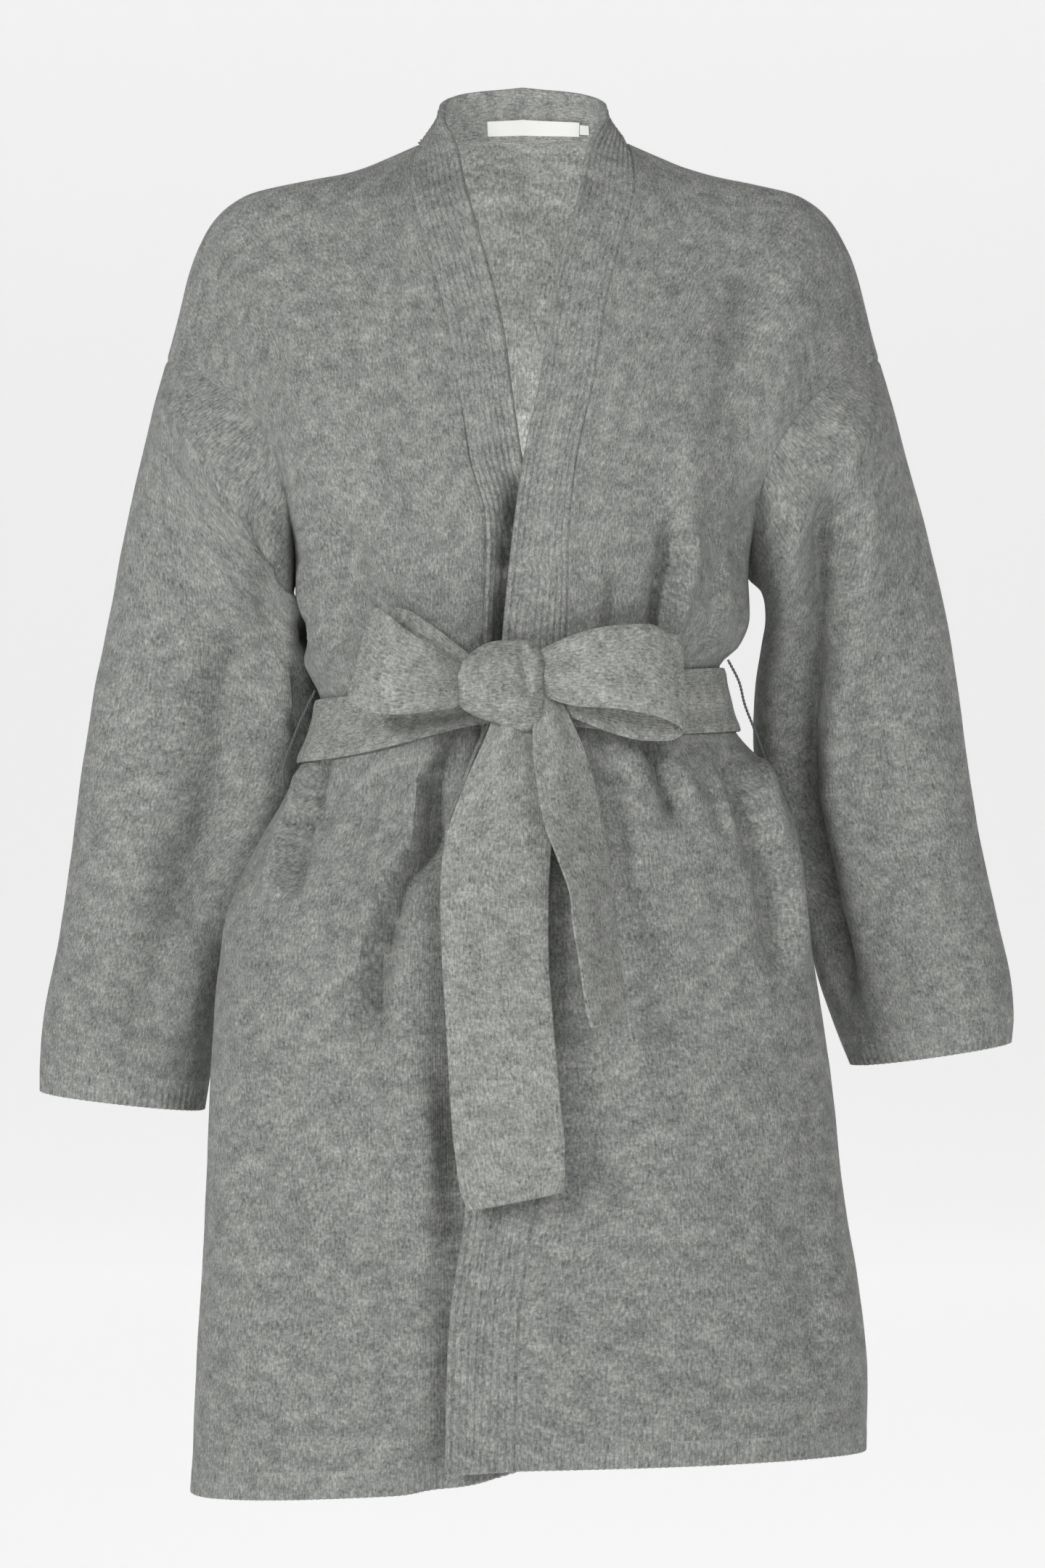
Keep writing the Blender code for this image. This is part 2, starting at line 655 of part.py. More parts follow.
def join_rows(lower, upper, closed):
    """Faces between two rows of point numbers, where one may have several times as many."""
    if closed:
        lower = [*lower, lower[0]]
        upper = [*upper, upper[0]]
    if len(lower) == len(upper):
        faces = []
        for k in range(len(lower) - 1):
            faces.append((lower[k], lower[k + 1], upper[k + 1]))
            faces.append((lower[k], upper[k + 1], upper[k]))
        return faces
    flip = len(lower) > len(upper)
    few, many = (upper, lower) if flip else (lower, upper)
    parts = (len(many) - 1) // (len(few) - 1)
    faces = []
    for k in range(len(few) - 1):
        middle = k * parts + parts // 2
        for step in range(k * parts, (k + 1) * parts):
            near = few[k] if step < middle else few[k + 1]
            faces.append((near, many[step + 1], many[step]))
        faces.append((few[k], few[k + 1], many[middle]))
    return [face[::-1] for face in faces] if flip else faces


def rim(outer, inner, points, closed=False):
    """Faces across a wall's edge, split the same way as those of the piece sewn to it."""
    if closed:
        outer = [*outer, outer[0]]
        inner = [*inner, inner[0]]
    heights = [points[k][2] + EDGE_SPLIT_SLOPE * points[k][0] for k in outer]
    faces = []
    for k in range(len(outer) - 1):
        a, b, c, d = outer[k], outer[k + 1], inner[k + 1], inner[k]
        if heights[k] < heights[k + 1]:
            faces += [(a, b, c), (a, c, d)]
        else:
            faces += [(a, b, d), (b, c, d)]
    return faces


def wall_mesh(outside, inside, closed):
    """Points and faces of a closed wall between two stacks of rows."""
    points = []
    numbers = []
    for row in (*outside, *inside):
        numbers.append(list(range(len(points), len(points) + len(row))))
        points.extend(row)
    out = numbers[:len(outside)]
    inn = numbers[len(outside):]
    faces = []
    for lower, upper in zip(out, out[1:]):
        faces += join_rows(lower, upper, closed)
    for lower, upper in zip(inn, inn[1:]):
        faces += [face[::-1] for face in join_rows(lower, upper, closed)]
    if len(out[0]) == len(inn[0]):
        faces += [face[::-1] for face in rim(out[0], inn[0], points, closed)]
    else:
        faces += join_rows(inn[0], out[0], closed)
    if len(out[-1]) == len(inn[-1]):
        faces += rim(out[-1], inn[-1], points, closed)
    else:
        faces += join_rows(out[-1], inn[-1], closed)
    if not closed:
        faces += rim([row[0] for row in out], [row[0] for row in inn], points)
        faces += [face[::-1] for face in rim([row[-1] for row in out], [row[-1] for row in inn], points)]
    return points, faces


def add_object(name, points, faces, material, collection):
    """An object from points in millimetres."""
    mesh = bpy.data.meshes.new(name)
    mesh.from_pydata([tuple(np.asarray(p) * MM) for p in points], [], faces)
    mesh.materials.append(material)
    mesh.shade_smooth()
    thing = bpy.data.objects.new(name, mesh)
    collection.objects.link(thing)
    return thing


def add_panel(name, grid, normals, sides, material, collection, ribs_below=False, closed=False):
    """A knitted panel with a plain inside, and with a ribbed edge along its lowest rows."""
    outer = pull_from_seams(grid, sides)
    inside = outer - normals * WALL
    outside = list(outer)
    if ribs_below:
        step = np.linalg.norm(np.diff(outer[0], axis=0), axis=1).mean()
        parts = 2 * max(1, round(step / RIB_PITCH))
        for r in (0, 1):
            outside[r] = ribbed(outer[r], normals[r], parts, closed)
    points, faces = wall_mesh(outside, list(inside), closed)
    return add_object(name, points, faces, material, collection)


def add_band(grid, normals, material, collection):
    """The ribbed band, whose ribs run its whole length."""
    outer = pull_from_seams(grid, ("right",))
    inside = list(outer - normals * WALL)
    parts = 2 * BAND_RIBS // BAND_COLUMNS
    outside = [ribbed(row, facing, parts, False) for row, facing in zip(outer, normals)]
    points, faces = wall_mesh(outside, inside, False)
    add_object("band", points, faces, material, collection)
    return inside


def strip_mesh(middle, thickness, closed=False):
    """A strip of belt: rows of points on its middle surface, given its thickness."""
    normals = shared_normals({"strip": middle}, {"strip"} if closed else set())["strip"]
    return wall_mesh(list(middle + normals * thickness / 2), list(middle - normals * thickness / 2), closed)


# The belt

def add_belt_wrap(skins, material, collection):
    """The belt round the waist, from the points of the cloth below it, moved out."""
    rows = [r for r, z in enumerate(body_heights()) if BELT_BOTTOM_Z <= z <= BELT_TOP_Z]
    ring = []
    for r in rows:
        ring.append(np.vstack([skins["flush_under"][r], skins["band_top"][r], skins["front_left"][r, 1:],
                               skins["back"][r, 1:-1]]))
    ring = np.array(ring)
    normals = shared_normals({"belt": ring}, {"belt"})["belt"]
    inside = ring + normals * BELT_CLEARANCE
    outside = ring + normals * (BELT_CLEARANCE + BELT_THICK)
    points, faces = wall_mesh(list(outside), list(inside), True)
    add_object("belt_wrap", points, faces, material, collection)


LoopRow = namedtuple("LoopRow", "low_x low_z back_low_z high_x high_z back_high_z front_y back_y")
BOW_LEFT = (
    LoopRow(-39.2, -379, -377, -39.2, -349, -345, -126, -117),
    LoopRow(-61.0, -384, -381, -57.0, -337, -332, -138, -116),
    LoopRow(-84.0, -386, -385, -76.0, -325, -319, -141, -113),
    LoopRow(-102.0, -384, -383, -89.0, -318, -315, -133, -110),
    LoopRow(-112.0, -379, -379, -95.0, -316, -315, -124, -112),
)
BOW_RIGHT = (
    LoopRow(11.2, -373, -379, 11.2, -344, -344, -126, -117),
    LoopRow(34.0, -380, -388, 34.0, -334, -333, -139, -117),
    LoopRow(60.0, -382, -398, 60.0, -328, -327, -143, -115),
    LoopRow(84.0, -386, -403, 84.0, -327, -326, -136, -112),
    LoopRow(101.0, -392, -402, 99.0, -334, -333, -125, -111),
)
BOW_CROSS_STEPS = 4
BOW_BULGE = 4.0
BOW_FRONT_Y = -121.0


def add_bow_loop(name, table, tip_x, material, collection):
    """One loop of the bow: out along its back layer, round the fold and back along its front."""
    back = [((r.low_x, r.back_y, r.back_low_z), (r.high_x, r.back_y, r.back_high_z)) for r in table]
    front = [((r.low_x, r.front_y, r.low_z), (r.high_x, r.front_y, r.high_z)) for r in table]
    last = table[-1]
    shift = tip_x - last.low_x
    middle_y = (last.front_y + last.back_y) / 2
    tip = ((tip_x, middle_y, (last.low_z + last.back_low_z) / 2),
           (last.high_x + shift, middle_y, (last.high_z + last.back_high_z) / 2))
    stations = [*back, tip, *front[::-1]]
    columns = []
    for low, high in stations:
        low = np.array(low, dtype=float)
        high = np.array(high, dtype=float)
        line = [low + (high - low) * k / BOW_CROSS_STEPS for k in range(BOW_CROSS_STEPS + 1)]
        columns.append(line)
    grid = np.array(columns).transpose(1, 0, 2)
    if table[0].low_x < table[-1].low_x:
        grid = grid[:, ::-1]
    for r in range(grid.shape[0]):
        share = r / BOW_CROSS_STEPS
        bulge = BOW_BULGE * math.sin(math.pi * share)
        for c in range(grid.shape[1]):
            if grid[r, c, 1] < BOW_FRONT_Y:
                grid[r, c, 1] -= bulge
    points, faces = strip_mesh(grid, BELT_THICK)
    add_object(name, points, faces, material, collection)


KNOT_CENTRE = (-14.0, -119.3, -364.5)
KNOT_HALF = (25.0, 17.0, 28.5)
KNOT_SLANT = math.radians(20)
KNOT_SQUARE = 0.75
KNOT_SEGMENTS = 20
KNOT_RINGS = 12
KNOT_GROOVE_DEPTH = 2.5
KNOT_GROOVE_WIDTH = 4.0
KNOT_GROOVE_X = -11.0


def add_knot(material, collection):
    """The knot: a rounded wrap of belt that leans to the left at its top."""
    mesh = bmesh.new()
    bmesh.ops.create_uvsphere(mesh, u_segments=KNOT_SEGMENTS, v_segments=KNOT_RINGS, radius=1.0)
    for point in mesh.verts:
        x, y, z = (math.copysign(abs(v) ** KNOT_SQUARE, v) for v in point.co)
        x *= KNOT_HALF[0]
        z *= KNOT_HALF[2]
        across = x * math.cos(KNOT_SLANT) + z * math.sin(KNOT_SLANT) - KNOT_GROOVE_X
        groove = KNOT_GROOVE_DEPTH * math.exp(-(across / KNOT_GROOVE_WIDTH) ** 2)
        y *= KNOT_HALF[1] - (groove if y < 0 else 0.0)
        point.co = ((KNOT_CENTRE[0] + x) * MM, (KNOT_CENTRE[1] + y) * MM, (KNOT_CENTRE[2] + z) * MM)
    data = bpy.data.meshes.new("knot")
    mesh.to_mesh(data)
    mesh.free()
    data.materials.append(material)
    data.shade_smooth()
    collection.objects.link(bpy.data.objects.new("knot", data))


TailRow = namedtuple("TailRow", "left_x left_y left_z right_x right_y right_z")
TAIL_LEFT = (
    TailRow(-37.0, -158, -708, 27.5, -159, -696),
    TailRow(-44.0, -156, -674, 27.5, -157, -670),
    TailRow(-47.0, -152, -641, 24.5, -153, -639),
    TailRow(-50.0, -145, -590, 20.0, -146, -590),
    TailRow(-53.0, -138, -543, 17.0, -139, -543),
    TailRow(-54.0, -132, -506, 14.0, -133, -506),
    TailRow(-50.0, -126, -466, 12.0, -128, -466),
    TailRow(-36.0, -122, -427, 7.0, -125, -430),
    TailRow(-22.0, -118, -393.6, 2.0, -119, -392.7),
)
TAIL_RIGHT = (
    TailRow(43.0, -180, -588, 68.0, -143, -584),
    TailRow(37.5, -178, -550, 64.0, -138, -548),
    TailRow(33.0, -175, -523, 61.5, -134, -521),
    TailRow(31.0, -171, -503, 59.5, -131, -501),
    TailRow(24.0, -164, -483, 57.0, -128, -481),
    TailRow(15.0, -152, -459, 53.0, -123, -457),
    TailRow(9.0, -137, -425, 46.0, -118, -422),
    TailRow(7.0, -127, -405, 36.0, -116, -400),
    TailRow(6.0, -122, -386.1, 15.0, -117, -384),
)
TAIL_STEPS = 4
TAIL_BOW = 3.0


def add_tail(name, table, material, collection):
    """A loose end of the belt, gathered at the knot and full width below."""
    rows = []
    for row in table:
        left = np.array([row.left_x, row.left_y, row.left_z], dtype=float)
        right = np.array([row.right_x, row.right_y, row.right_z], dtype=float)
        line = [left + (right - left) * k / TAIL_STEPS for k in range(TAIL_STEPS + 1)]
        for k, point in enumerate(line):
            point[1] -= TAIL_BOW * math.sin(math.pi * k / TAIL_STEPS)
        rows.append(line)
    points, faces = strip_mesh(np.array(rows), BELT_THICK)
    add_object(name, points, faces, material, collection)


# Thread carriers that hold the belt at the side seams
CARRIER_THICK = 2.2
CARRIER_POINTS = 12
CARRIERS = {
    "belt_loop_left": ((-142.3, -14, -368), (-150.5, -15, -385), (-157.5, -16, -402),
                       (-163.5, -17, -420), (-163.5, -17, -434)),
    "belt_loop_right": ((141.0, -14, -347), (148.5, -15, -362), (152.5, -16, -378),
                        (159.5, -17, -396), (167.5, -17, -418)),
}


def add_carrier(name, route, material, collection):
    """A thread loop over the belt, from above it to below it."""
    curve = bpy.data.curves.new(name, "CURVE")
    curve.dimensions = "3D"
    curve.bevel_depth = CARRIER_THICK / 2 * MM
    curve.bevel_resolution = 1
    curve.use_fill_caps = True
    line = along_line(rounded_line(route), np.linspace(0, 1, CARRIER_POINTS))
    spline = curve.splines.new("POLY")
    spline.points.add(len(line) - 1)
    for point, place in zip(spline.points, line):
        point.co = (*(place * MM), 1.0)
    curve.materials.append(material)
    collection.objects.link(bpy.data.objects.new(name, curve))


# The label inside the neck band, placed in rows of the band counted from the centre of the back
LABEL_THICK = 0.8
LABEL_LIFT = 0.5
LABEL_LOW_SHARE = 0.08
LABEL_HIGH_SHARE = 0.38
LABEL_ROWS = (-1.25, -1.0, -0.5, 0.0, 0.75)


def add_label(name, inside_rows, centre, material, collection):
    """A flat label on the inside of the band's rows near its centre row, above the neck seam."""
    rows = []
    for share in (LABEL_LOW_SHARE, LABEL_HIGH_SHARE):
        line = []
        for offset in LABEL_ROWS:
            low = centre + math.floor(offset)
            part = offset - math.floor(offset)
            row = inside_rows[low] + (inside_rows[low + 1] - inside_rows[low]) * part
            place = (1 - share) * (len(row) - 1)
            k = min(int(place), len(row) - 2)
            line.append(row[k] + (row[k + 1] - row[k]) * (place - k))
        rows.append(line[::-1])
    grid = np.array(rows)
    normals = shared_normals({name: grid}, set())[name]
    away = LABEL_LIFT + LABEL_THICK / 2
    points, faces = strip_mesh(grid + normals * away, LABEL_THICK)
    add_object(name, points, faces, material, collection)


# Materials

def srgb(hex_code):
    """A colour in linear values from its sRGB code."""
    values = [int(hex_code[k:k + 2], 16) / 255 for k in (1, 3, 5)]
    return [v / 12.92 if v <= 0.04045 else ((v + 0.055) / 1.055) ** 2.4 for v in values] + [1.0]


def make_material(name, hex_code, roughness):
    """Cloth of one colour."""
    material = bpy.data.materials.new(name)
    material.use_nodes = True
    shader = material.node_tree.nodes["Principled BSDF"]
    shader.inputs["Base Color"].default_value = srgb(hex_code)
    shader.inputs["Roughness"].default_value = roughness
    shader.inputs["Metallic"].default_value = 0.0
    return material


def build_cardigan():
    """Builds every piece into a collection of its own."""
    for thing in list(bpy.data.objects):
        bpy.data.objects.remove(thing)
    collection = bpy.data.collections.new("belted_cardigan")
    bpy.context.scene.collection.children.link(collection)

    top = front_rows(1)
    under = front_rows(-1)[:, ::-1]
    back = back_rows(top, under)
    centre = FRONT_COLUMNS + NECK_COLUMNS // 2
    neck_right = back[-1, FRONT_COLUMNS + 1:centre + 1]
    neck_left = back[-1, centre:-FRONT_COLUMNS - 1][::-1]
    band_right = band_half(1, top[:, 0], neck_right)
    band_left = band_half(-1, under[:, -1], neck_left)
    low_rows = len(body_heights())
    skins = {
        "front_left": top,
        "front_right": sink_under(under),
        "back": back,
        "band": np.vstack([band_right, sink_under(band_left)[:-1][::-1]]),
        "sleeve_right": sleeve_rows(1, top[low_rows - 1:, -1], back[low_rows - 1:, 0], SLEEVE_RIGHT),
        "sleeve_left": sleeve_rows(-1, under[low_rows - 1:, 0], back[low_rows - 1:, -1], SLEEVE_LEFT),
    }
    skins["sleeve_right"] = skins["sleeve_right"][::-1, ::-1]
    skins["sleeve_left"] = skins["sleeve_left"][::-1]
    closed = {"sleeve_right", "sleeve_left"}

    lines = fold_lines(list(skins.values()))
    normals = shared_normals(skins, closed)
    folded = {}
    for name, grid in skins.items():
        depths = np.array([fold_depth(p, lines) for p in grid.reshape(-1, 3)]).reshape(grid.shape[:2])
        folded[name] = grid - normals[name] * depths[..., None]
    normals = shared_normals(folded, closed)

    wool = make_material("grey_wool_jersey", "#8f9192", 0.95)
    rib = make_material("grey_wool_rib", "#8b8d8f", 0.95)
    belting = make_material("grey_wool_belt", "#8a8c8e", 0.95)
    thread = make_material("grey_thread", "#777a7c", 0.9)
    label = make_material("white_woven_label", "#e9e9e6", 0.8)

    add_panel("front_left", folded["front_left"], normals["front_left"], ("left", "right", "top"), wool,
              collection, ribs_below=True)
    add_panel("front_right", folded["front_right"], normals["front_right"], ("left", "right", "top"), wool,
              collection, ribs_below=True)
    add_panel("back", folded["back"], normals["back"], ("left", "right", "top"), wool, collection,
              ribs_below=True)
    for name in ("sleeve_left", "sleeve_right"):
        add_panel(name, folded[name], normals[name], ("top",), wool, collection, ribs_below=True, closed=True)
    inside = add_band(folded["band"], normals["band"], rib, collection)

    waist = {"flush_under": under, "band_top": band_right, "front_left": top, "back": back}
    add_belt_wrap(waist, belting, collection)
    add_bow_loop("bow_left", BOW_LEFT, -116.0, belting, collection)
    add_bow_loop("bow_right", BOW_RIGHT, 107.0, belting, collection)
    add_knot(belting, collection)
    add_tail("tail_left", TAIL_LEFT, belting, collection)
    add_tail("tail_right", TAIL_RIGHT, belting, collection)
    for name, route in CARRIERS.items():
        add_carrier(name, route, thread, collection)
    add_label("neck_label", inside, len(band_right) - 1, label, collection)


build_cardigan()
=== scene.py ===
"""Long belted cardigan in heather grey wool, filled out in its worn shape with nobody in it.

Sizes are in millimetres until a mesh is made: x to the viewer's right, y away from the
viewer, z up, from the point between the two neck points of the shoulders.
"""

import math
from collections import namedtuple

import bpy
import numpy as np
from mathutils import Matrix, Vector, noise
from mathutils.kdtree import KDTree


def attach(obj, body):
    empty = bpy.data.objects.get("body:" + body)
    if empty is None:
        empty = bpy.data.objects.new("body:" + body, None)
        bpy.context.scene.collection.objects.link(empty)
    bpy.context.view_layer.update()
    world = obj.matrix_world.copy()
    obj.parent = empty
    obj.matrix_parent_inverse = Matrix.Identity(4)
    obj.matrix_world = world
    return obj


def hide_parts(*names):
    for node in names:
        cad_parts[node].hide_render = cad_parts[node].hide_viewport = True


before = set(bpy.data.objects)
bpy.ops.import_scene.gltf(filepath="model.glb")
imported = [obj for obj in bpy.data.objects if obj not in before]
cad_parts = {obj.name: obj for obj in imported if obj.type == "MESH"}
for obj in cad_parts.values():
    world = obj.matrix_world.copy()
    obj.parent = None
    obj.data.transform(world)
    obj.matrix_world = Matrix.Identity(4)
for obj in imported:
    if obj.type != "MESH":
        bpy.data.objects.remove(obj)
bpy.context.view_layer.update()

# Camera, looking straight at the front from 3.2 m, level with the middle of the garment
CAMERA_PLACE = (0.0, -3.2, -0.432)
CAMERA_LENS = 106.67
camera_data = bpy.data.cameras.new("camera")
camera_data.sensor_width = 36
camera_data.lens = CAMERA_LENS
camera = bpy.data.objects.new("camera", camera_data)
camera.location = CAMERA_PLACE
camera.rotation_euler = (math.radians(90), 0, 0)
bpy.context.scene.collection.objects.link(camera)
bpy.context.scene.camera = camera

# Body cloth
# The two fronts and the back are cut from felted wool jersey. Their shape is a stack of
# level sections below the underarm and a yoke above it, and each hem is knitted in one
# with its panel as narrow ribs.
MM = 0.001
WALL = 2.4
HEM_RIB_HEIGHT = 17.0
RIB_PITCH = 4.7
RIB_RISE = 0.8
RIB_POINTS = 6
KNOT_X = -15.0
PINCH_REACH = 75.0
TOP_HEM_LIFT = 18.0
UNDER_HEM_LIFT = 7.0
HEM_LIFT_REACH = 300.0
UNDER_TUCK = 15.0
UNDER_TUCK_X = -55.0
UNDER_TUCK_WIDTH = 85.0
OVERLAP_DEPTH = 8.0
OVERLAP_SLOPE = 32.0
OVERLAP_TOP_Z = -120.0
OVERLAP_FULL_Z = -200.0
YOKE_BLEND = 0.45
YOKE_SQUARE = 2.2
BELT_BOTTOM_Z = -408
BELT_TOP_Z = -364
NECK_POINT_Z = 12.0
BACK_NECK_Z = 20.0
SHOULDER_TIP_Z = -140.0

# Horizontal sections: side seams, depths, squareness, slope to the right, rise at the knot
BodyRow = namedtuple("BodyRow", "z left right side_y front_y back_y square tilt pinch")
BODY = (
    BodyRow(-900, -226.0, 234.0, -26, -153, 114, 2.2, 14, 0),
    BodyRow(-840, -223.0, 235.0, -26, -151, 114, 2.2, 10, 0),
    BodyRow(-780, -220.0, 230.0, -26, -148, 113, 2.2, 6, 0),
    BodyRow(-720, -217.0, 220.0, -26, -144, 112, 2.2, 4, 0),
    BodyRow(-660, -214.0, 213.0, -26, -139, 110, 2.2, 3, 0),
    BodyRow(-600, -212.0, 206.0, -25, -133, 107, 2.2, 3, 0),
    BodyRow(-550, -206.0, 198.0, -24, -127, 103, 2.2, 4, 0),
    BodyRow(-505, -195.0, 193.0, -22, -120, 98, 2.2, 6, 4),
    BodyRow(-465, -178.0, 185.0, -19, -111, 91, 2.2, 9, 8),
    BodyRow(-432, -161.0, 168.0, -15, -104, 83, 2.2, 11, 14),
    BodyRow(-408, -151.5, 146.5, -12, -99, 77, 2.3, 11, 18),
    BodyRow(-386, -142.0, 138.5, -10, -97, 74, 2.3, 11, 10),
    BodyRow(-364, -138.5, 135.0, -8, -97, 74, 2.3, 11, 0),
    BodyRow(-345, -148.0, 149.0, -6, -104, 80, 2.3, 8, 0),
    BodyRow(-320, -152.0, 156.0, -3, -111, 90, 2.4, 3, 0),
    BodyRow(-290, -155.0, 155.0, 5, -116, 97, 2.5, 0, 0),
)

# Sections above the underarm: half width of the shoulder outline, and depths
YokeRow = namedtuple("YokeRow", "z half middle_y front back")
YOKE = (
    YokeRow(-290, 283.0, 5, 116, 97),
    YokeRow(-262, 277.0, 6, 116, 98),
    YokeRow(-222, 267.5, 7, 114, 99),
    YokeRow(-182, 257.0, 8, 110, 98),
    YokeRow(-142, 246.5, 10, 104, 95),
    YokeRow(-122, 241.0, 11, 99, 92),
    YokeRow(-102, 236.0, 12, 93, 89),
    YokeRow(-82, 231.0, 13, 86, 85),
    YokeRow(-62, 224.0, 14, 77, 80),
    YokeRow(-42, 212.5, 14, 67, 74),
    YokeRow(-30, 199.0, 15, 59, 70),
    YokeRow(-24, 186.5, 15, 54, 68),
    YokeRow(-18, 161.0, 15, 48, 65),
    YokeRow(-12, 131.0, 15, 42, 62),
    YokeRow(-6, 110.0, 15, 35, 59),
    YokeRow(0, 96.0, 16, 28, 56),
    YokeRow(6, 83.0, 16, 20, 53),
    YokeRow(12, 71.0, 16, 12, 50),
    YokeRow(20, 62.0, 16, 4, 46),
)

# The armhole seam of a drop shoulder, from the underarm up toward the shoulder tip
ArmholePoint = namedtuple("ArmholePoint", "x z")
ARMHOLE = (
    ArmholePoint(155.0, -290.0),
    ArmholePoint(156.5, -262.0),
    ArmholePoint(162.0, -230.0),
    ArmholePoint(174.0, -200.0),
    ArmholePoint(194.0, -174.0),
    ArmholePoint(220.0, -153.0),
)

# Free edges of the top front, on the viewer's right, and of the front under it
EdgeRow = namedtuple("EdgeRow", "z x")
TOP_EDGE = (
    EdgeRow(-900, -51.0), EdgeRow(-793, -47.0), EdgeRow(-704, -37.0), EdgeRow(-561, -49.0),
    EdgeRow(-470, -52.0), EdgeRow(-434, -38.0), EdgeRow(-391, -17.0), EdgeRow(-328, -12.5),
    EdgeRow(-218, 0.5), EdgeRow(-162, 12.0), EdgeRow(-92, 23.0), EdgeRow(-37, 37.0), EdgeRow(12, 48.0),
)
UNDER_EDGE = (
    EdgeRow(-900, 28.0), EdgeRow(-700, 24.0), EdgeRow(-500, 16.0), EdgeRow(-391, 16.0),
    EdgeRow(-328, 17.0), EdgeRow(-250, 11.0), EdgeRow(-218, 0.5), EdgeRow(-185, -4.5),
    EdgeRow(-114, -15.5), EdgeRow(-37, -35.5), EdgeRow(12, -48.0),
)
BandRow = namedtuple("BandRow", "z width")
BAND_WIDTH = (
    BandRow(-900, 46.0), BandRow(-560, 45.0), BandRow(-400, 44.0), BandRow(-325, 42.0),
    BandRow(-250, 36.5), BandRow(-140, 36.0), BandRow(-60, 37.5), BandRow(-30, 37.5),
    BandRow(-12, 34.0), BandRow(0, 30.0), BandRow(12, 23.0),
)

# Folds and creases: where each runs as seen from the front or the back, half width, depth
# (negative for a ridge), and how much of the depth rises as a soft ridge on the viewer's
# right of a falling line, or on its left where the number is negative
Crease = namedtuple("Crease", "face width depth ridge path")
CREASES = (
    Crease("under", 9, 20, 0.0, ((-1, -226), (-7, -275), (-11, -325), (-14, -375))),
    Crease("under", 17, 15, 0.0, ((-44, -600), (-40, -700), (-47, -793), (-51, -960))),
    Crease("front", 7, 18, 0.5, ((99, -255), (97, -285), (92, -312), (86, -345))),
    Crease("front", 14, -8, 0.0, ((112, -187), (108, -286), (100, -330))),
    Crease("front", 18, 12, 0.4, ((163, -82), (148, -145), (140, -201))),
    Crease("front", 8, 18, -0.5, ((-44, -374), (-52, -410), (-58, -440), (-60, -470), (-79, -497), (-94, -542), (-103, -613))),
    Crease("front", 9, 17, -0.5, ((-136, -410), (-149, -462), (-160, -508))),
    Crease("front", 7, 17, 0.4, ((86, -392), (92, -416), (99, -434), (107, -456))),
    Crease("front", 12, 17, 0.6, ((138, -405), (147, -430), (156, -455), (166, -495), (172, -560))),
    Crease("front", 18, 8, 0.3, ((48, -588), (54, -640), (60, -699))),
    Crease("front", 22, 8, 0.4, ((-191, -680), (-165, -740), (-136, -801))),
    Crease("front", 18, 6, 0.3, ((188, -709), (196, -823))),
    Crease("front", 20, 10, 0.3, ((-80, -720), (-92, -860))),
    Crease("front", 10, 10, 0.0, ((-152, -272), (-146, -300), (-142, -338))),
    Crease("front", 13, 6, 0.2, ((152, -240), (146, -282))),
    Crease("front", 15, 30, 0.35, ((212, -214), (204, -308), (190, -416), (202, -497), (227, -590))),
    Crease("front", 12, 8, 0.3, ((-189, -160), (-184, -203), (-178, -241), (-172, -317), (-167, -345))),
    Crease("front", 17, 8, 0.3, ((-236, -460), (-246, -540), (-266, -610))),
    Crease("front", 22, 20, 0.2, ((-194, -325), (-204, -400), (-213, -470), (-224, -550))),
    Crease("front", 20, 14, 0.2, ((-122, -350), (-122, -300), (-118, -258))),
    Crease("back", 16, 10, 0.3, ((-70, -335), (-84, -250))),
    Crease("back", 16, 10, -0.3, ((18, -338), (10, -230))),
    Crease("back", 13, 8, 0.3, ((92, -336), (108, -262))),
    Crease("back", 15, 11, -0.4, ((-96, -430), (-108, -490), (-120, -560))),
    Crease("back", 18, 10, 0.3, ((-24, -430), (-30, -530), (-34, -640))),
    Crease("back", 14, 11, 0.4, ((58, -430), (70, -510), (84, -600))),
    Crease("back", 22, 10, 0.3, ((130, -640), (150, -800))),
    Crease("front", 6, 5, 0.4, ((-104, -352), (-110, -322), (-108, -290))),
    Crease("front", 6, 5, -0.4, ((-70, -346), (-76, -312))),
    Crease("front", 6, 5, 0.4, ((64, -346), (60, -316), (62, -290))),
    Crease("front", 7, 5, -0.4, ((120, -346), (128, -318), (130, -280))),
    Crease("front", 7, 6, 0.4, ((-96, -424), (-106, -460), (-112, -492))),
    Crease("front", 7, 5, -0.4, ((-122, -426), (-134, -458))),
    Crease("front", 7, 6, -0.4, ((62, -418), (68, -446), (70, -480))),
    Crease("front", 6, 5, 0.4, ((122, -420), (132, -448), (138, -470))),
    Crease("back", 6, 5, 0.4, ((-120, -346), (-126, -310))),
    Crease("back", 7, 5, -0.4, ((-40, -344), (-44, -300))),
    Crease("back", 6, 5, 0.4, ((56, -344), (62, -306))),
    Crease("back", 7, 6, 0.4, ((-62, -424), (-68, -470))),
    Crease("back", 6, 5, -0.4, ((22, -424), (24, -466))),
    Crease("back", 7, 6, 0.4, ((100, -424), (112, -470))),
    Crease("back", 24, 8, 0.3, ((-90, -640), (-104, -800))),
)
CREASE_REACH = 3.2
CREASE_END = 0.2
CREASE_END_SHARE = 0.2
RIDGE_PLACE = 1.6
FACE_Y = 20.0
BELT_CALM = 14.0
BELT_CALM_MARGIN = 6.0
BELT_CALM_X = 160.0

# Soft unevenness of felted cloth: wavelength and height
UNEVEN = ((70.0, 1.3), (24.0, 0.35))

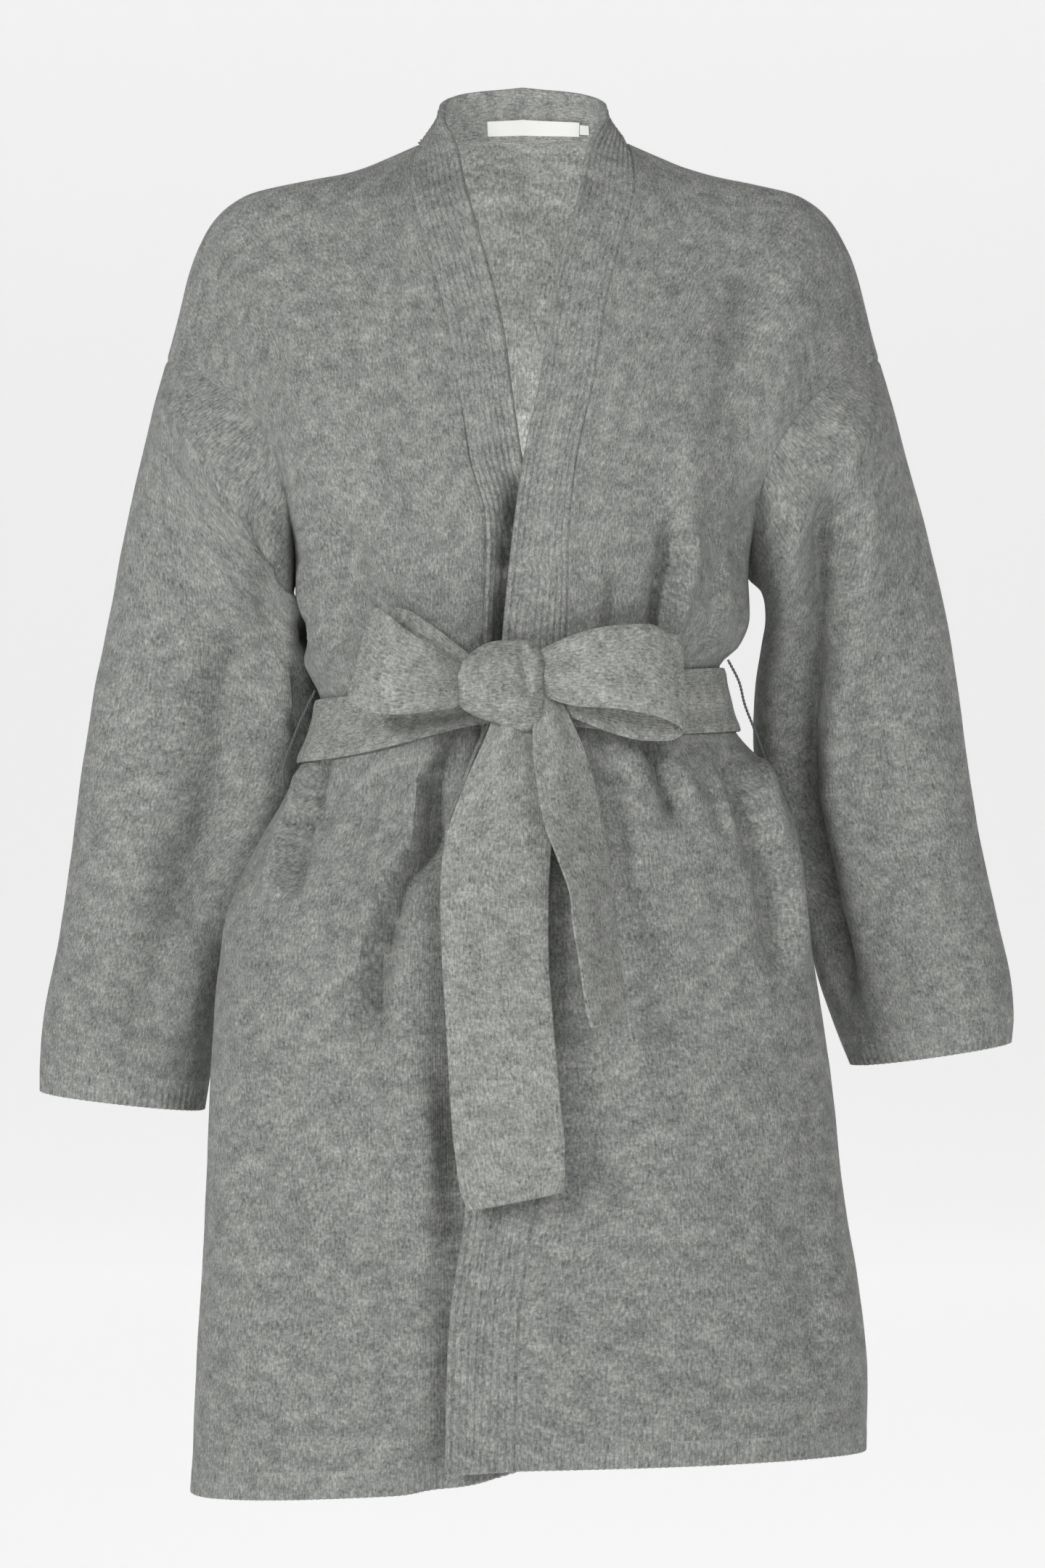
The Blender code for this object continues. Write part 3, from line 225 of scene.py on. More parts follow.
# Rows and columns of the fine shells
HEM_ROWS = np.linspace(-900, -900 + HEM_RIB_HEIGHT, 6)
BODY_HEIGHTS = np.concatenate([HEM_ROWS, np.linspace(-900 + HEM_RIB_HEIGHT, -290, 125)[1:]])
YOKE_SHARES = np.sin(math.pi / 2 * np.arange(1, 66) / 65)
SIDE_STEPS = np.array([0.0, 0.004, 0.009, 0.016])
FRONT_SHARES = np.concatenate([SIDE_STEPS, np.linspace(0.03, 0.97, 52), 1 - SIDE_STEPS[::-1]])
NECK_STEPS = 28
SEAM_DIP = 0.9
SEAM_WIDTH = 1.8


def smooth(t):
    """Ease from 0 to 1."""
    t = np.clip(t, 0.0, 1.0)
    return t * t * (3 - 2 * t)


def read_table(rows, at):
    """A size table at any places along its first column, joined smoothly between its rows."""
    data = np.array(rows, dtype=float)
    if data[0, 0] > data[-1, 0]:
        data = data[::-1]
    return type(rows[0])(*np.moveaxis(smooth_join(data, data[:, 0], at), -1, 0))


def smooth_join(values, places, wanted):
    """Values given at some places, at the wanted places, on a smooth curve that never swings past them."""
    values = np.asarray(values, dtype=float)
    wanted = np.clip(np.asarray(wanted, dtype=float), places[0], places[-1])
    low = np.clip(np.searchsorted(places, wanted, side="right") - 1, 0, len(places) - 2)
    gaps = np.diff(places).reshape((-1,) + (1,) * (values.ndim - 1))
    slopes = np.diff(values, axis=0) / gaps
    inner = np.where(slopes[1:] * slopes[:-1] <= 0, 0.0, (slopes[1:] + slopes[:-1]) / 2)
    tangents = np.concatenate([slopes[:1], inner, slopes[-1:]])
    extra = (1,) * (values.ndim - 1)
    span = (places[low + 1] - places[low]).reshape(wanted.shape + extra)
    t = ((wanted - places[low]).reshape(wanted.shape + extra)) / span
    return (values[low] * (1 + 2 * t) * (1 - t) ** 2 + tangents[low] * span * t * (1 - t) ** 2
            + values[low + 1] * t * t * (3 - 2 * t) - tangents[low + 1] * span * t * t * (1 - t))


def along_line(points, shares):
    """Points at given shares of the length of a line."""
    points = np.asarray(points, dtype=float)
    lengths = np.concatenate([[0.0], np.cumsum(np.linalg.norm(np.diff(points, axis=0), axis=1))])
    return np.stack([np.interp(np.asarray(shares) * lengths[-1], lengths, column) for column in points.T], axis=1)


def rounded_line(points, steps=12):
    """A smooth curve through all the points."""
    points = np.asarray(points, dtype=float)
    padded = np.vstack([2 * points[:1] - points[1:2], points, 2 * points[-1:] - points[-2:-1]])
    line = []
    for a, b, c, d in zip(padded, padded[1:], padded[2:], padded[3:]):
        for t in np.arange(steps) / steps:
            line.append(0.5 * (2 * b + (c - a) * t + (2 * a - 5 * b + 4 * c - d) * t * t
                               + (3 * b - a - 3 * c + d) * t ** 3))
    return np.array([*line, points[-1]])


def section_point(z, angle):
    """Points of a level section: angle 0 is the right side seam, then the front, the left seam and the back."""
    row = read_table(BODY, z)
    across = np.sign(np.cos(angle)) * np.abs(np.cos(angle)) ** (2 / row.square)
    out = np.abs(np.sin(angle)) ** (2 / row.square)
    front = np.sin(angle) > 0
    x = (row.left + row.right) / 2 + (row.right - row.left) / 2 * across
    y = row.side_y + (np.where(front, row.front_y, row.back_y) - row.side_y) * out
    rise = np.where(front, row.pinch * np.exp(-((x - KNOT_X) / PINCH_REACH) ** 2), 0.0)
    return np.stack([x, y, row.z + row.tilt * across + rise], axis=-1)


def front_angle(z, x):
    """The angle at which a section's front passes a given x."""
    row = read_table(BODY, z)
    across = (2 * x - row.left - row.right) / (row.right - row.left)
    return np.arccos(np.sign(across) * np.abs(across) ** (row.square / 2))


def yoke_y(x, z, front):
    """Depth of the cloth above the underarm."""
    row = read_table(YOKE, z)
    out = (1 - np.minimum(np.abs(x) / row.half, 1.0) ** YOKE_SQUARE) ** (1 / YOKE_SQUARE)
    return row.middle_y - row.front * out if front else row.middle_y + row.back * out


def edge_x(side, z):
    """The free edge of a front: side 1 is the top front, -1 the front under it."""
    return read_table(TOP_EDGE if side > 0 else UNDER_EDGE, z).x


def band_seam_x(side, z):
    """The seam between a front and its band."""
    return edge_x(side, z) + side * read_table(BAND_WIDTH, z).width


def shoulder_line(side, shares):
    """The shoulder seam from the neck point out to the tip, in x and z."""
    heights = np.linspace(NECK_POINT_Z, SHOULDER_TIP_Z, 160)
    return along_line(np.stack([side * read_table(YOKE, heights).half, heights], axis=1), shares)


def armhole_line(side):
    """The armhole seam from the underarm up to the shoulder tip, in x and z."""
    tip = (side * float(read_table(YOKE, SHOULDER_TIP_Z).half), SHOULDER_TIP_Z)
    return along_line(rounded_line([*((side * p.x, p.z) for p in ARMHOLE), tip]), YOKE_SHARES)


def hem_lift(side, share, z):
    """How far a front's hem rises above the plain section, from 0 at the side seam."""
    lift = TOP_HEM_LIFT if side > 0 else UNDER_HEM_LIFT
    return lift * (1 - share) * smooth(1 - (z - BODY[0].z) / HEM_LIFT_REACH)


def under_tuck(points):
    """How far the under front's lower corner is drawn up behind the top front."""
    drawn = UNDER_TUCK * smooth((points[..., 0] - UNDER_TUCK_X) / UNDER_TUCK_WIDTH)
    return drawn * smooth(1 - (points[..., 2] - BODY[0].z) / HEM_LIFT_REACH)


def yoke_patch(low, top, inner, outer, shares, front):
    """The cloth above the underarm, filled in between its four border lines."""
    u = shares[None, :, None]
    v = YOKE_SHARES[:, None, None]
    base = low[None, :, [0, 2]]
    top = top[None]
    flat = ((1 - v) * base + v * top + (1 - u) * inner[:, None] + u * outer[:, None]
            - (1 - u) * ((1 - v) * base[:, :1] + v * top[:, :1])
            - u * ((1 - v) * base[:, -1:] + v * top[:, -1:]))
    x, z = flat[..., 0], flat[..., 1]
    ridge = (v[..., 0] == 1) & (z <= NECK_POINT_Z + 0.01)
    y = np.where(ridge, read_table(YOKE, z).middle_y, yoke_y(x, z, front))
    blend = smooth(v[..., 0] / YOKE_BLEND)
    return np.stack([x, (1 - blend) * low[None, :, 1] + blend * y, z], axis=-1)


def front_cloth(side):
    """One front from the band seam to the side seam and the armhole, hem row first."""
    z = BODY_HEIGHTS
    start = front_angle(z, band_seam_x(side, z))[:, None]
    end = 0.0 if side > 0 else math.pi
    low = section_point(z[:, None], start + (end - start) * FRONT_SHARES)
    low[..., 2] += hem_lift(side, FRONT_SHARES, z[:, None])
    if side < 0:
        low[..., 2] += under_tuck(low)
    seam_z = z[-1] + (NECK_POINT_Z - z[-1]) * YOKE_SHARES
    inner = np.stack([band_seam_x(side, seam_z), seam_z], axis=1)
    patch = yoke_patch(low[-1], shoulder_line(side, FRONT_SHARES), inner, armhole_line(side), FRONT_SHARES, True)
    return np.concatenate([low, patch])


def back_cloth():
    """The back, from the right side seam round to the left one."""
    out = len(FRONT_SHARES) - 1
    count = 2 * FRONT_SHARES[-1] * out + NECK_STEPS
    shares = np.concatenate([(1 - FRONT_SHARES[::-1]) * out, out + np.arange(1, NECK_STEPS),
                             out + NECK_STEPS + FRONT_SHARES * out]) / count
    low = section_point(BODY_HEIGHTS[:, None], 2 * math.pi - math.pi * shares)
    turns = np.linspace(0, math.pi, NECK_STEPS + 1)[1:-1]
    neck_x = shoulder_line(1, [0.0])[0, 0]
    neck = np.stack([neck_x * np.cos(turns), NECK_POINT_Z + (BACK_NECK_Z - NECK_POINT_Z) * np.sin(turns)], axis=1)
    top = np.vstack([shoulder_line(1, FRONT_SHARES)[::-1], neck, shoulder_line(-1, FRONT_SHARES)])
    return np.concatenate([low, yoke_patch(low[-1], top, armhole_line(1), armhole_line(-1), shares, False)])


def sink_under(grid):
    """Sets the under front back where the top front covers it."""
    x, z = grid[..., 0], grid[..., 2]
    covered = smooth((x - edge_x(1, z) + OVERLAP_SLOPE) / OVERLAP_SLOPE)
    low = smooth((OVERLAP_TOP_Z - z) / (OVERLAP_TOP_Z - OVERLAP_FULL_Z))
    moved = grid.copy()
    moved[..., 1] += OVERLAP_DEPTH * covered * low
    return moved


# Front band
# A rib knit strip sewn to both fronts and round the neck, where it stands up as a low
# collar. Its nine ribs run its whole length and its free edge is a soft fold.
BAND_RIBS = 9
BAND_RISE = 1.0
BAND_RISE_LOW = 1.5
BAND_RISE_LOW_Z = -420.0
BAND_RISE_FADE = 200.0
EDGE_ROLL = 1.4
EDGE_ROLL_WIDTH = 2.6
BAND_COLUMNS = BAND_RIBS * RIB_POINTS
STAND_START_Z = -30.0
STAND_LIFT = 12.0
STAND_LIFT_START_Z = -150.0
StandRow = namedtuple("StandRow", "run x y z")
STAND = (
    StandRow(0.00, 40.0, -27.0, -18.0),
    StandRow(0.24, 46.0, -10.0, 8.0),
    StandRow(0.40, 55.0, 8.0, 29.0),
    StandRow(0.58, 54.0, 32.0, 43.0),
    StandRow(0.74, 42.0, 50.0, 50.0),
    StandRow(1.00, 0.0, 62.0, 56.0),
)


def band_half(side, front, neck_half):
    """The band from the hem to the middle of the back neck, each row from free edge to seam."""
    steps = np.linspace(1, 0, BAND_COLUMNS + 1)
    z = BODY_HEIGHTS
    seam_angle = front_angle(z, band_seam_x(side, z))[:, None]
    edge_angle = front_angle(z, edge_x(side, z))[:, None]
    low = section_point(z[:, None], seam_angle + (edge_angle - seam_angle) * steps)
    low[..., 2] += hem_lift(side, 0.0, z[:, None])
    if side < 0:
        low[..., 2] += under_tuck(low)
    seams = np.vstack([front[len(z):, 0], neck_half])
    start = int(np.argmax(seams[:, 2] > STAND_START_Z))
    stand = seams[start:]
    lengths = np.concatenate([[0.0], np.cumsum(np.linalg.norm(np.diff(stand, axis=0), axis=1))])
    rows = []
    for k, seam in enumerate(seams):
        if k < start:
            lift = STAND_LIFT * smooth((seam[2] - STAND_LIFT_START_Z) / (STAND_START_Z - STAND_LIFT_START_Z))
            edge_z = seam[2] + lift
            blend = smooth((seam[2] - BODY[-1].z) / ((NECK_POINT_Z - BODY[-1].z) * YOKE_BLEND))
            edge = np.array([edge_x(side, edge_z), 0.0, edge_z])
            edge[1] = (1 - blend) * low[-1, 0, 1] + blend * yoke_y(edge[0], edge_z, True)
            row = seam + (edge - seam) * steps[:, None]
            body = yoke_y(row[:, 0], row[:, 2], True)
            row[:, 1] = (1 - blend) * row[:, 1] + blend * body
        else:
            place = read_table(STAND, lengths[k - start] / lengths[-1])
            edge = np.array([side * place.x, place.y, place.z])
            row = seam + (edge - seam) * steps[:, None]
        rows.append(row)
    return np.concatenate([low, np.array(rows)])


# Sleeves
# Drop shoulder sleeves of the same jersey, set into the armholes and cut straight to a
# ribbed cuff. They hang a little away from the body, as on bent arms.
SleeveRow = namedtuple("SleeveRow", "outer_x outer_z inner_x inner_z middle_y half_y")
SLEEVE_RIGHT = (
    SleeveRow(254.5, -172, 166.0, -301, 6, 80),
    SleeveRow(266.0, -212, 168.0, -318, 11, 73),
    SleeveRow(281.0, -262, 166.0, -336, 20, 67),
    SleeveRow(295.0, -321, 163.0, -362, 31, 62),
    SleeveRow(305.0, -378, 161.5, -402, 40, 58),
    SleeveRow(312.5, -425, 167.5, -444, 46, 56),
    SleeveRow(321.0, -473, 181.0, -491, 49, 54),
    SleeveRow(331.0, -521, 198.0, -536, 50, 51),
    SleeveRow(340.0, -564, 210.0, -577, 49, 47),
    SleeveRow(343.0, -593, 220.5, -608, 48, 43),
    SleeveRow(341.5, -612, 229.0, -628, 47, 42),
)
SLEEVE_LEFT = (
    SleeveRow(-252.5, -165, -158.0, -301, 7, 80),
    SleeveRow(-263.0, -205, -148.0, -316, 16, 73),
    SleeveRow(-275.0, -255, -142.5, -337, 28, 66),
    SleeveRow(-289.0, -320, -139.0, -364, 37, 60),
    SleeveRow(-301.0, -381, -137.0, -406, 45, 57),
    SleeveRow(-309.0, -430, -154.0, -452, 49, 55),
    SleeveRow(-316.0, -483, -181.0, -499, 50, 53),
    SleeveRow(-324.0, -537, -199.0, -551, 51, 50),
    SleeveRow(-334.0, -592, -212.0, -605, 50, 46),
    SleeveRow(-337.0, -626, -218.5, -639, 48, 43),
    SleeveRow(-337.0, -646, -222.0, -659, 47, 42),
)
SLEEVE_SQUARE = 2.2
SLEEVE_EASE_RINGS = 4
SLEEVE_STEP = 5.0
CUFF_ROWS = 6


def sleeve_cloth(front_seam, back_seam, table):
    """A sleeve's rings from its cuff up to the armhole seam."""
    half = len(front_seam) - 1
    top = np.vstack([front_seam[::-1], back_seam[1:-1]])
    drawn = 1 - np.concatenate([[0.0], YOKE_SHARES])[::-1]
    even = np.linspace(0, 1, half + 1)
    rings = [top]
    for number, row in enumerate(table, start=1):
        shares = drawn + (even - drawn) * smooth(number / SLEEVE_EASE_RINGS)
        angles = math.pi * np.concatenate([shares, -shares[::-1][1:-1]])
        across = np.sign(np.cos(angles)) * np.abs(np.cos(angles)) ** (2 / SLEEVE_SQUARE)
        out = np.sign(np.sin(angles)) * np.abs(np.sin(angles)) ** (2 / SLEEVE_SQUARE)
        outer = np.array([row.outer_x, row.middle_y, row.outer_z])
        inner = np.array([row.inner_x, row.middle_y, row.inner_z])
        ring = (outer + inner) / 2 + (outer - inner) / 2 * across[:, None]
        ring[:, 1] -= row.half_y * out
        rings.append(ring)
    rings = np.array(rings)
    steps = np.linalg.norm(np.diff(rings, axis=0), axis=2).mean(axis=1)
    places = np.concatenate([[0.0], np.cumsum(steps)])
    body = np.arange(SLEEVE_STEP, places[-2] - SLEEVE_STEP / 2, SLEEVE_STEP)
    wanted = np.concatenate([[0.0, 1.2, 2.8], body, np.linspace(places[-2], places[-1], CUFF_ROWS)])
    return smooth_join(rings, places, wanted)[::-1]


# Putting the body together
top_front = front_cloth(1)
under_front = front_cloth(-1)
back = back_cloth()
side_points = len(FRONT_SHARES) - 1
middle = side_points + NECK_STEPS // 2
band_right = band_half(1, top_front, back[-1, side_points + 1:middle + 1])
band_left = band_half(-1, under_front, back[-1, middle:-side_points - 1][::-1])
low_rows = len(BODY_HEIGHTS)
skins = {
    "front_left": top_front,
    "front_right": sink_under(under_front)[:, ::-1],
    "back": back,
    "band": np.concatenate([band_right, sink_under(band_left)[:-1][::-1]]),
    "sleeve_right": sleeve_cloth(top_front[low_rows - 1:, -1], back[low_rows - 1:, 0], SLEEVE_RIGHT)[:, ::-1],
    "sleeve_left": sleeve_cloth(under_front[low_rows - 1:, -1], back[low_rows - 1:, -1], SLEEVE_LEFT),
}
tubes = {"sleeve_left", "sleeve_right"}


def point_normals(grid, closed):
    """Unit normals at a grid's points."""
    wide = np.concatenate([grid[:, -1:], grid, grid[:, :1]], axis=1) if closed else grid
    across = np.gradient(wide, axis=1)[:, 1:-1] if closed else np.gradient(wide, axis=1)
    normals = np.cross(across, np.gradient(grid, axis=0))
    return normals / (np.linalg.norm(normals, axis=2, keepdims=True) + 1e-12)


def border_spots(grid, closed):
    """Row and column numbers of a grid's border points."""
    rows, columns = grid.shape[:2]
    spots = [(r, c) for r in (0, rows - 1) for c in range(columns)]
    if not closed:
        spots += [(r, c) for c in (0, columns - 1) for r in range(1, rows - 1)]
    return spots


SAME_POINT = 0.6
GROUPS = {"sleeve_left": "sleeve", "sleeve_right": "sleeve", "band": "band"}


def shared_normals(grids):
    """Normals that agree on both sides of every seam."""
    normals = {name: point_normals(grid, name in tubes) for name, grid in grids.items()}
    spots = [(name, r, c) for name, grid in grids.items() for r, c in border_spots(grid, name in tubes)]
    tree = KDTree(len(spots))
    for k, (name, r, c) in enumerate(spots):
        tree.insert(grids[name][r, c], k)
    tree.balance()
    agreed = []
    for name, r, c in spots:
        sums = {}
        for _, other, _ in tree.find_range(grids[name][r, c], SAME_POINT):
            near, row, column = spots[other]
            group = GROUPS.get(near, "body")
            sums[group] = sums.get(group, 0.0) + normals[near][row, column]
        total = sum(value / (np.linalg.norm(value) + 1e-12) for value in sums.values())
        agreed.append(total / (np.linalg.norm(total) + 1e-12))
    for (name, r, c), value in zip(spots, agreed):
        normals[name][r, c] = value
    return normals


def crease_press(points, creases, cloth, under):
    """How far the creases press the cloth in at each point; some press only the front underneath."""
    depth = np.zeros(len(points))
    for crease in creases:
        facing = cloth[cloth[:, 1] > FACE_Y] if crease.face == "back" else cloth[cloth[:, 1] < FACE_Y]
        path = rounded_line(crease.path, 4)
        line = np.array([facing[np.argmin((facing[:, 0] - x) ** 2 + (facing[:, 2] - z) ** 2)] for x, z in path])
        line[:, [0, 2]] = path
        reach = CREASE_REACH * crease.width
        near = np.where(np.all((points > line.min(axis=0) - reach) & (points < line.max(axis=0) + reach), axis=1))[0]
        close = points[near]
        gap = np.full(len(near), np.inf)
        along = np.zeros(len(near))
        turn = np.zeros(len(near))
        lengths = np.linalg.norm(np.diff(line, axis=0), axis=1)
        done = 0.0
        for a, b, length in zip(line, line[1:], lengths):
            t = np.clip((close - a) @ (b - a) / (length * length), 0, 1)
            away = np.linalg.norm(close - (a + t[:, None] * (b - a)), axis=1)
            better = away < gap
            gap = np.where(better, away, gap)
            along = np.where(better, (done + t * length) / lengths.sum(), along)
            cross = (b[0] - a[0]) * (close[:, 2] - a[2]) - (b[2] - a[2]) * (close[:, 0] - a[0])
            turn = np.where(better, np.sign(cross), turn)
            done += length
        ends = smooth(np.minimum(along, 1 - along) / CREASE_END + CREASE_END_SHARE)
        trough = np.exp(-(gap / crease.width) ** 2)
        side = turn * math.copysign(1, crease.ridge) * gap
        ridge = np.exp(-((side - RIDGE_PLACE * crease.width) / crease.width) ** 2)
        pressed = crease.depth * (trough - abs(crease.ridge) * ridge) * ends
        depth[near] += pressed * under[near] if crease.face == "under" else pressed
    return depth


def belt_calm(points):
    """1 away from the belt and 0 under it, where the cloth is pressed flat."""
    above = (points[:, 2] - BELT_TOP_Z - BELT_CALM_MARGIN) / BELT_CALM
    below = (BELT_BOTTOM_Z - BELT_CALM_MARGIN - points[:, 2]) / BELT_CALM
    return np.where(np.abs(points[:, 0]) < BELT_CALM_X, smooth(np.maximum(above, below)), 1.0)


def uneven(points):
    """Soft hollows and swellings of hand-felted cloth."""
    height = np.zeros(len(points))
    for wave, rise in UNEVEN:
        height += rise * np.array([noise.noise(Vector(p / wave)) for p in points])
    return height


cloth = np.vstack([grid[::3, ::3].reshape(-1, 3) for grid in skins.values()])
normals = shared_normals(skins)
folded = {}
for name, grid in skins.items():
    points = grid.reshape(-1, 3)
    under = np.full(grid.shape[:2], name == "front_right")
    if name == "band":
        under[len(grid) // 2:] = True
    press = crease_press(points, CREASES, cloth, under.ravel())
    press = np.maximum(press, 0.0) + (np.minimum(press, 0.0) + uneven(points)) * belt_calm(points)
    folded[name] = grid - normals[name] * press.reshape(grid.shape[:2])[..., None]
normals = shared_normals(folded)


def wall_faces(rows, columns, closed, start, flip):
    """Faces of one layer of a wall."""
    r = np.arange(rows - 1)[:, None]
    c = np.arange(columns if closed else columns - 1)[None, :]
    right = (c + 1) % columns
    quads = np.stack([r * columns + c, r * columns + right, (r + 1) * columns + right, (r + 1) * columns + c], axis=-1)
    quads = quads.reshape(-1, 4) + start
    return quads[:, ::-1] if flip else quads


RIM_SWELL = 0.3


def cloth_wall(outer, inner, closed):
    """Points and faces of a wall between two layers, with softly rounded rims."""
    rows, columns = outer.shape[:2]
    layer = rows * columns
    numbers = np.arange(layer).reshape(rows, columns)
    if closed:
        loops = [(numbers[0][::-1], outer[0][::-1] - outer[1][::-1]), (numbers[-1], outer[-1] - outer[-2])]
    else:
        spots = np.concatenate([numbers[-1, :-1], numbers[:0:-1, -1], numbers[0, :0:-1], numbers[:-1, 0]])
        away = np.zeros_like(outer)
        away[-1] += unit(outer[-1] - outer[-2])
        away[0] += unit(outer[0] - outer[1])
        away[:, -1] += unit(outer[:, -1] - outer[:, -2])
        away[:, 0] += unit(outer[:, 0] - outer[:, 1])
        loops = [(spots, away.reshape(-1, 3)[spots])]
    points = np.vstack([outer.reshape(-1, 3), inner.reshape(-1, 3)])
    faces = [wall_faces(rows, columns, closed, 0, False), wall_faces(rows, columns, closed, layer, True)]
    source = [np.arange(layer), np.arange(layer)]
    for spots, away in loops:
        thick = np.linalg.norm(points[spots] - points[spots + layer], axis=1)[:, None]
        ring = (points[spots] + points[spots + layer]) / 2 + unit(away) * thick * RIM_SWELL
        first = len(points)
        points = np.vstack([points, ring])
        source.append(spots)
        k = np.arange(len(spots))
        after = (k + 1) % len(spots)
        faces.append(np.stack([spots[k], first + k, first + after, spots[after]], axis=1))
        faces.append(np.stack([first + k, spots[k] + layer, spots[after] + layer, first + after], axis=1))
    return points, np.vstack(faces), np.concatenate(source)


def unit(vectors):
    """The same vectors with length 1."""
    return vectors / (np.linalg.norm(vectors, axis=-1, keepdims=True) + 1e-12)


RIM_ANGLE = 55.0


def make_piece(name, parts, materials):
    """One mesh from several walls: each part is points, faces, cloth coordinates and a material number."""
    points, faces, places, finish = [], [], [], []
    for part_points, part_faces, part_places, number in parts:
        faces.append(part_faces + sum(len(p) for p in points))
        points.append(part_points)
        places.append(part_places)
        finish.append(np.full(len(part_faces), number))
    points, faces, places, finish = (np.concatenate(values) for values in (points, faces, places, finish))
    mesh = bpy.data.meshes.new(name)
    mesh.from_pydata((points * MM).tolist(), [], faces.tolist())
    layer = mesh.uv_layers.new(name="cloth")
    corners = np.zeros(len(mesh.loops), dtype=np.int32)
    mesh.loops.foreach_get("vertex_index", corners)
    layer.data.foreach_set("uv", (places * MM)[corners].astype(np.float32).ravel())
    for material in materials:
        mesh.materials.append(material)
    mesh.polygons.foreach_set("material_index", finish.astype(np.int32))
    mesh.shade_smooth()
    mesh.set_sharp_from_angle(angle=math.radians(RIM_ANGLE))
    piece = bpy.data.objects.new(name, mesh)
    bpy.context.scene.collection.objects.link(piece)
    return piece


def cloth_places(grid, closed=False):
    """Each point's place on the flat cloth: across its columns and up its rows."""
    across = np.linalg.norm(np.diff(grid, axis=1), axis=2).mean(axis=0)
    up = np.linalg.norm(np.diff(grid, axis=0), axis=2).mean(axis=1)
    u = np.concatenate([[0.0], np.cumsum(across)])
    v = np.concatenate([[0.0], np.cumsum(up)])
    return np.stack(np.meshgrid(u, v), axis=-1).reshape(-1, 2)


# Heather wool
# Felted lambswool jersey, spun from light, dark and blue-grey fibres and milled soft: it
# reads as a mottled grey with short fine hairs, faint wales, and no shine but a soft halo.
def srgb(hex_code):
    """A colour in linear values from its sRGB code."""
    values = [int(hex_code[k:k + 2], 16) / 255 for k in (1, 3, 5)]
    return (*(v / 12.92 if v <= 0.04045 else ((v + 0.055) / 1.055) ** 2.4 for v in values), 1.0)


def add_node(tree, kind, links=(), values=(), **settings):
    """Adds a node with its settings, its socket values and its links from other nodes' sockets."""
    made = tree.nodes.new(kind)
    for key, value in settings.items():
        setattr(made, key, value)
    for socket, value in values:
        made.inputs[socket].default_value = value
    for socket, source in links:
        tree.links.new(source, made.inputs[socket])
    return made


HAIR_MM = 1.4
FLECK_MM = 2.0
MOTTLE_MM = 11.0
CLOUD_MM = 45.0


def heather_wool(name, dark, middle_grey, light, wale_mm, wale_depth):
    """Heather wool whose wales run up the cloth."""
    material = bpy.data.materials.new(name)
    material.use_nodes = True
    tree = material.node_tree
    shader = tree.nodes["Principled BSDF"]
    place = add_node(tree, "ShaderNodeUVMap", uv_map="cloth").outputs["UV"]
    tall = add_node(tree, "ShaderNodeMapping", [("Vector", place)], [("Scale", (1.0, 0.28, 1.0))]).outputs["Vector"]
    wide = add_node(tree, "ShaderNodeMapping", [("Vector", place)], [("Scale", (0.85, 1.0, 1.0))]).outputs["Vector"]
    hairs = add_node(tree, "ShaderNodeTexNoise", [("Vector", tall)],
                     [("Scale", 1 / (HAIR_MM * MM)), ("Detail", 3.0), ("Roughness", 0.7)]).outputs["Fac"]
    flecks = add_node(tree, "ShaderNodeTexNoise", [("Vector", place)],
                      [("Scale", 1 / (FLECK_MM * MM)), ("Detail", 4.0), ("Roughness", 0.75)]).outputs["Fac"]
    mottle = add_node(tree, "ShaderNodeTexNoise", [("Vector", wide)],
                      [("Scale", 1 / (MOTTLE_MM * MM)), ("Detail", 4.0), ("Roughness", 0.6)]).outputs["Fac"]
    cloud = add_node(tree, "ShaderNodeTexNoise", [("Vector", place)],
                     [("Scale", 1 / (CLOUD_MM * MM)), ("Detail", 2.0)]).outputs["Fac"]
    fine = add_node(tree, "ShaderNodeMath", [(0, hairs), (1, flecks)], operation="ADD").outputs[0]
    broad = add_node(tree, "ShaderNodeMath", [(0, cloud), (2, mottle)], [(1, 0.3)],
                     operation="MULTIPLY_ADD").outputs[0]
    tone = add_node(tree, "ShaderNodeMath", [(0, broad), (2, fine)], [(1, 0.65)], operation="MULTIPLY_ADD").outputs[0]
    level = add_node(tree, "ShaderNodeMapRange", [("Value", tone)],
                     [("From Min", 1.08), ("From Max", 1.78), ("To Min", 0.0), ("To Max", 1.0)]).outputs["Result"]
    ramp = add_node(tree, "ShaderNodeValToRGB", [("Fac", level)])
    stops = ramp.color_ramp.elements
    stops[0].position, stops[0].color = 0.0, srgb(dark)
    stops[1].position, stops[1].color = 1.0, srgb(light)
    stops.new(0.5).color = srgb(middle_grey)
    tree.links.new(ramp.outputs["Color"], shader.inputs["Base Color"])
    apart = add_node(tree, "ShaderNodeSeparateXYZ", [("Vector", place)]).outputs["X"]
    turns = add_node(tree, "ShaderNodeMath", [(0, apart)], [(1, 2 * math.pi / (wale_mm * MM))],
                     operation="MULTIPLY").outputs[0]
    wales = add_node(tree, "ShaderNodeMath", [(0, turns)], operation="SINE").outputs[0]
    relief = add_node(tree, "ShaderNodeMath", [(0, wales), (2, fine)], [(1, wale_depth)],
                      operation="MULTIPLY_ADD").outputs[0]
    bump = add_node(tree, "ShaderNodeBump", [("Height", relief)], [("Strength", 0.55), ("Distance", 0.0006)])
    tree.links.new(bump.outputs["Normal"], shader.inputs["Normal"])
    shader.inputs["Roughness"].default_value = 0.95
    shader.inputs["Specular IOR Level"].default_value = 0.15
    shader.inputs["Sheen Weight"].default_value = 0.16
    shader.inputs["Sheen Roughness"].default_value = 0.45
    shader.inputs["Sheen Tint"].default_value = srgb("#dcdddb")
    return material


wool_jersey = heather_wool("heather_wool_jersey", "#535654", "#888a87", "#b9b9b4", 1.6, 0.12)
wool_rib = heather_wool("heather_wool_rib", "#565957", "#8e908d", "#bdbdb8", 1.2, 0.15)


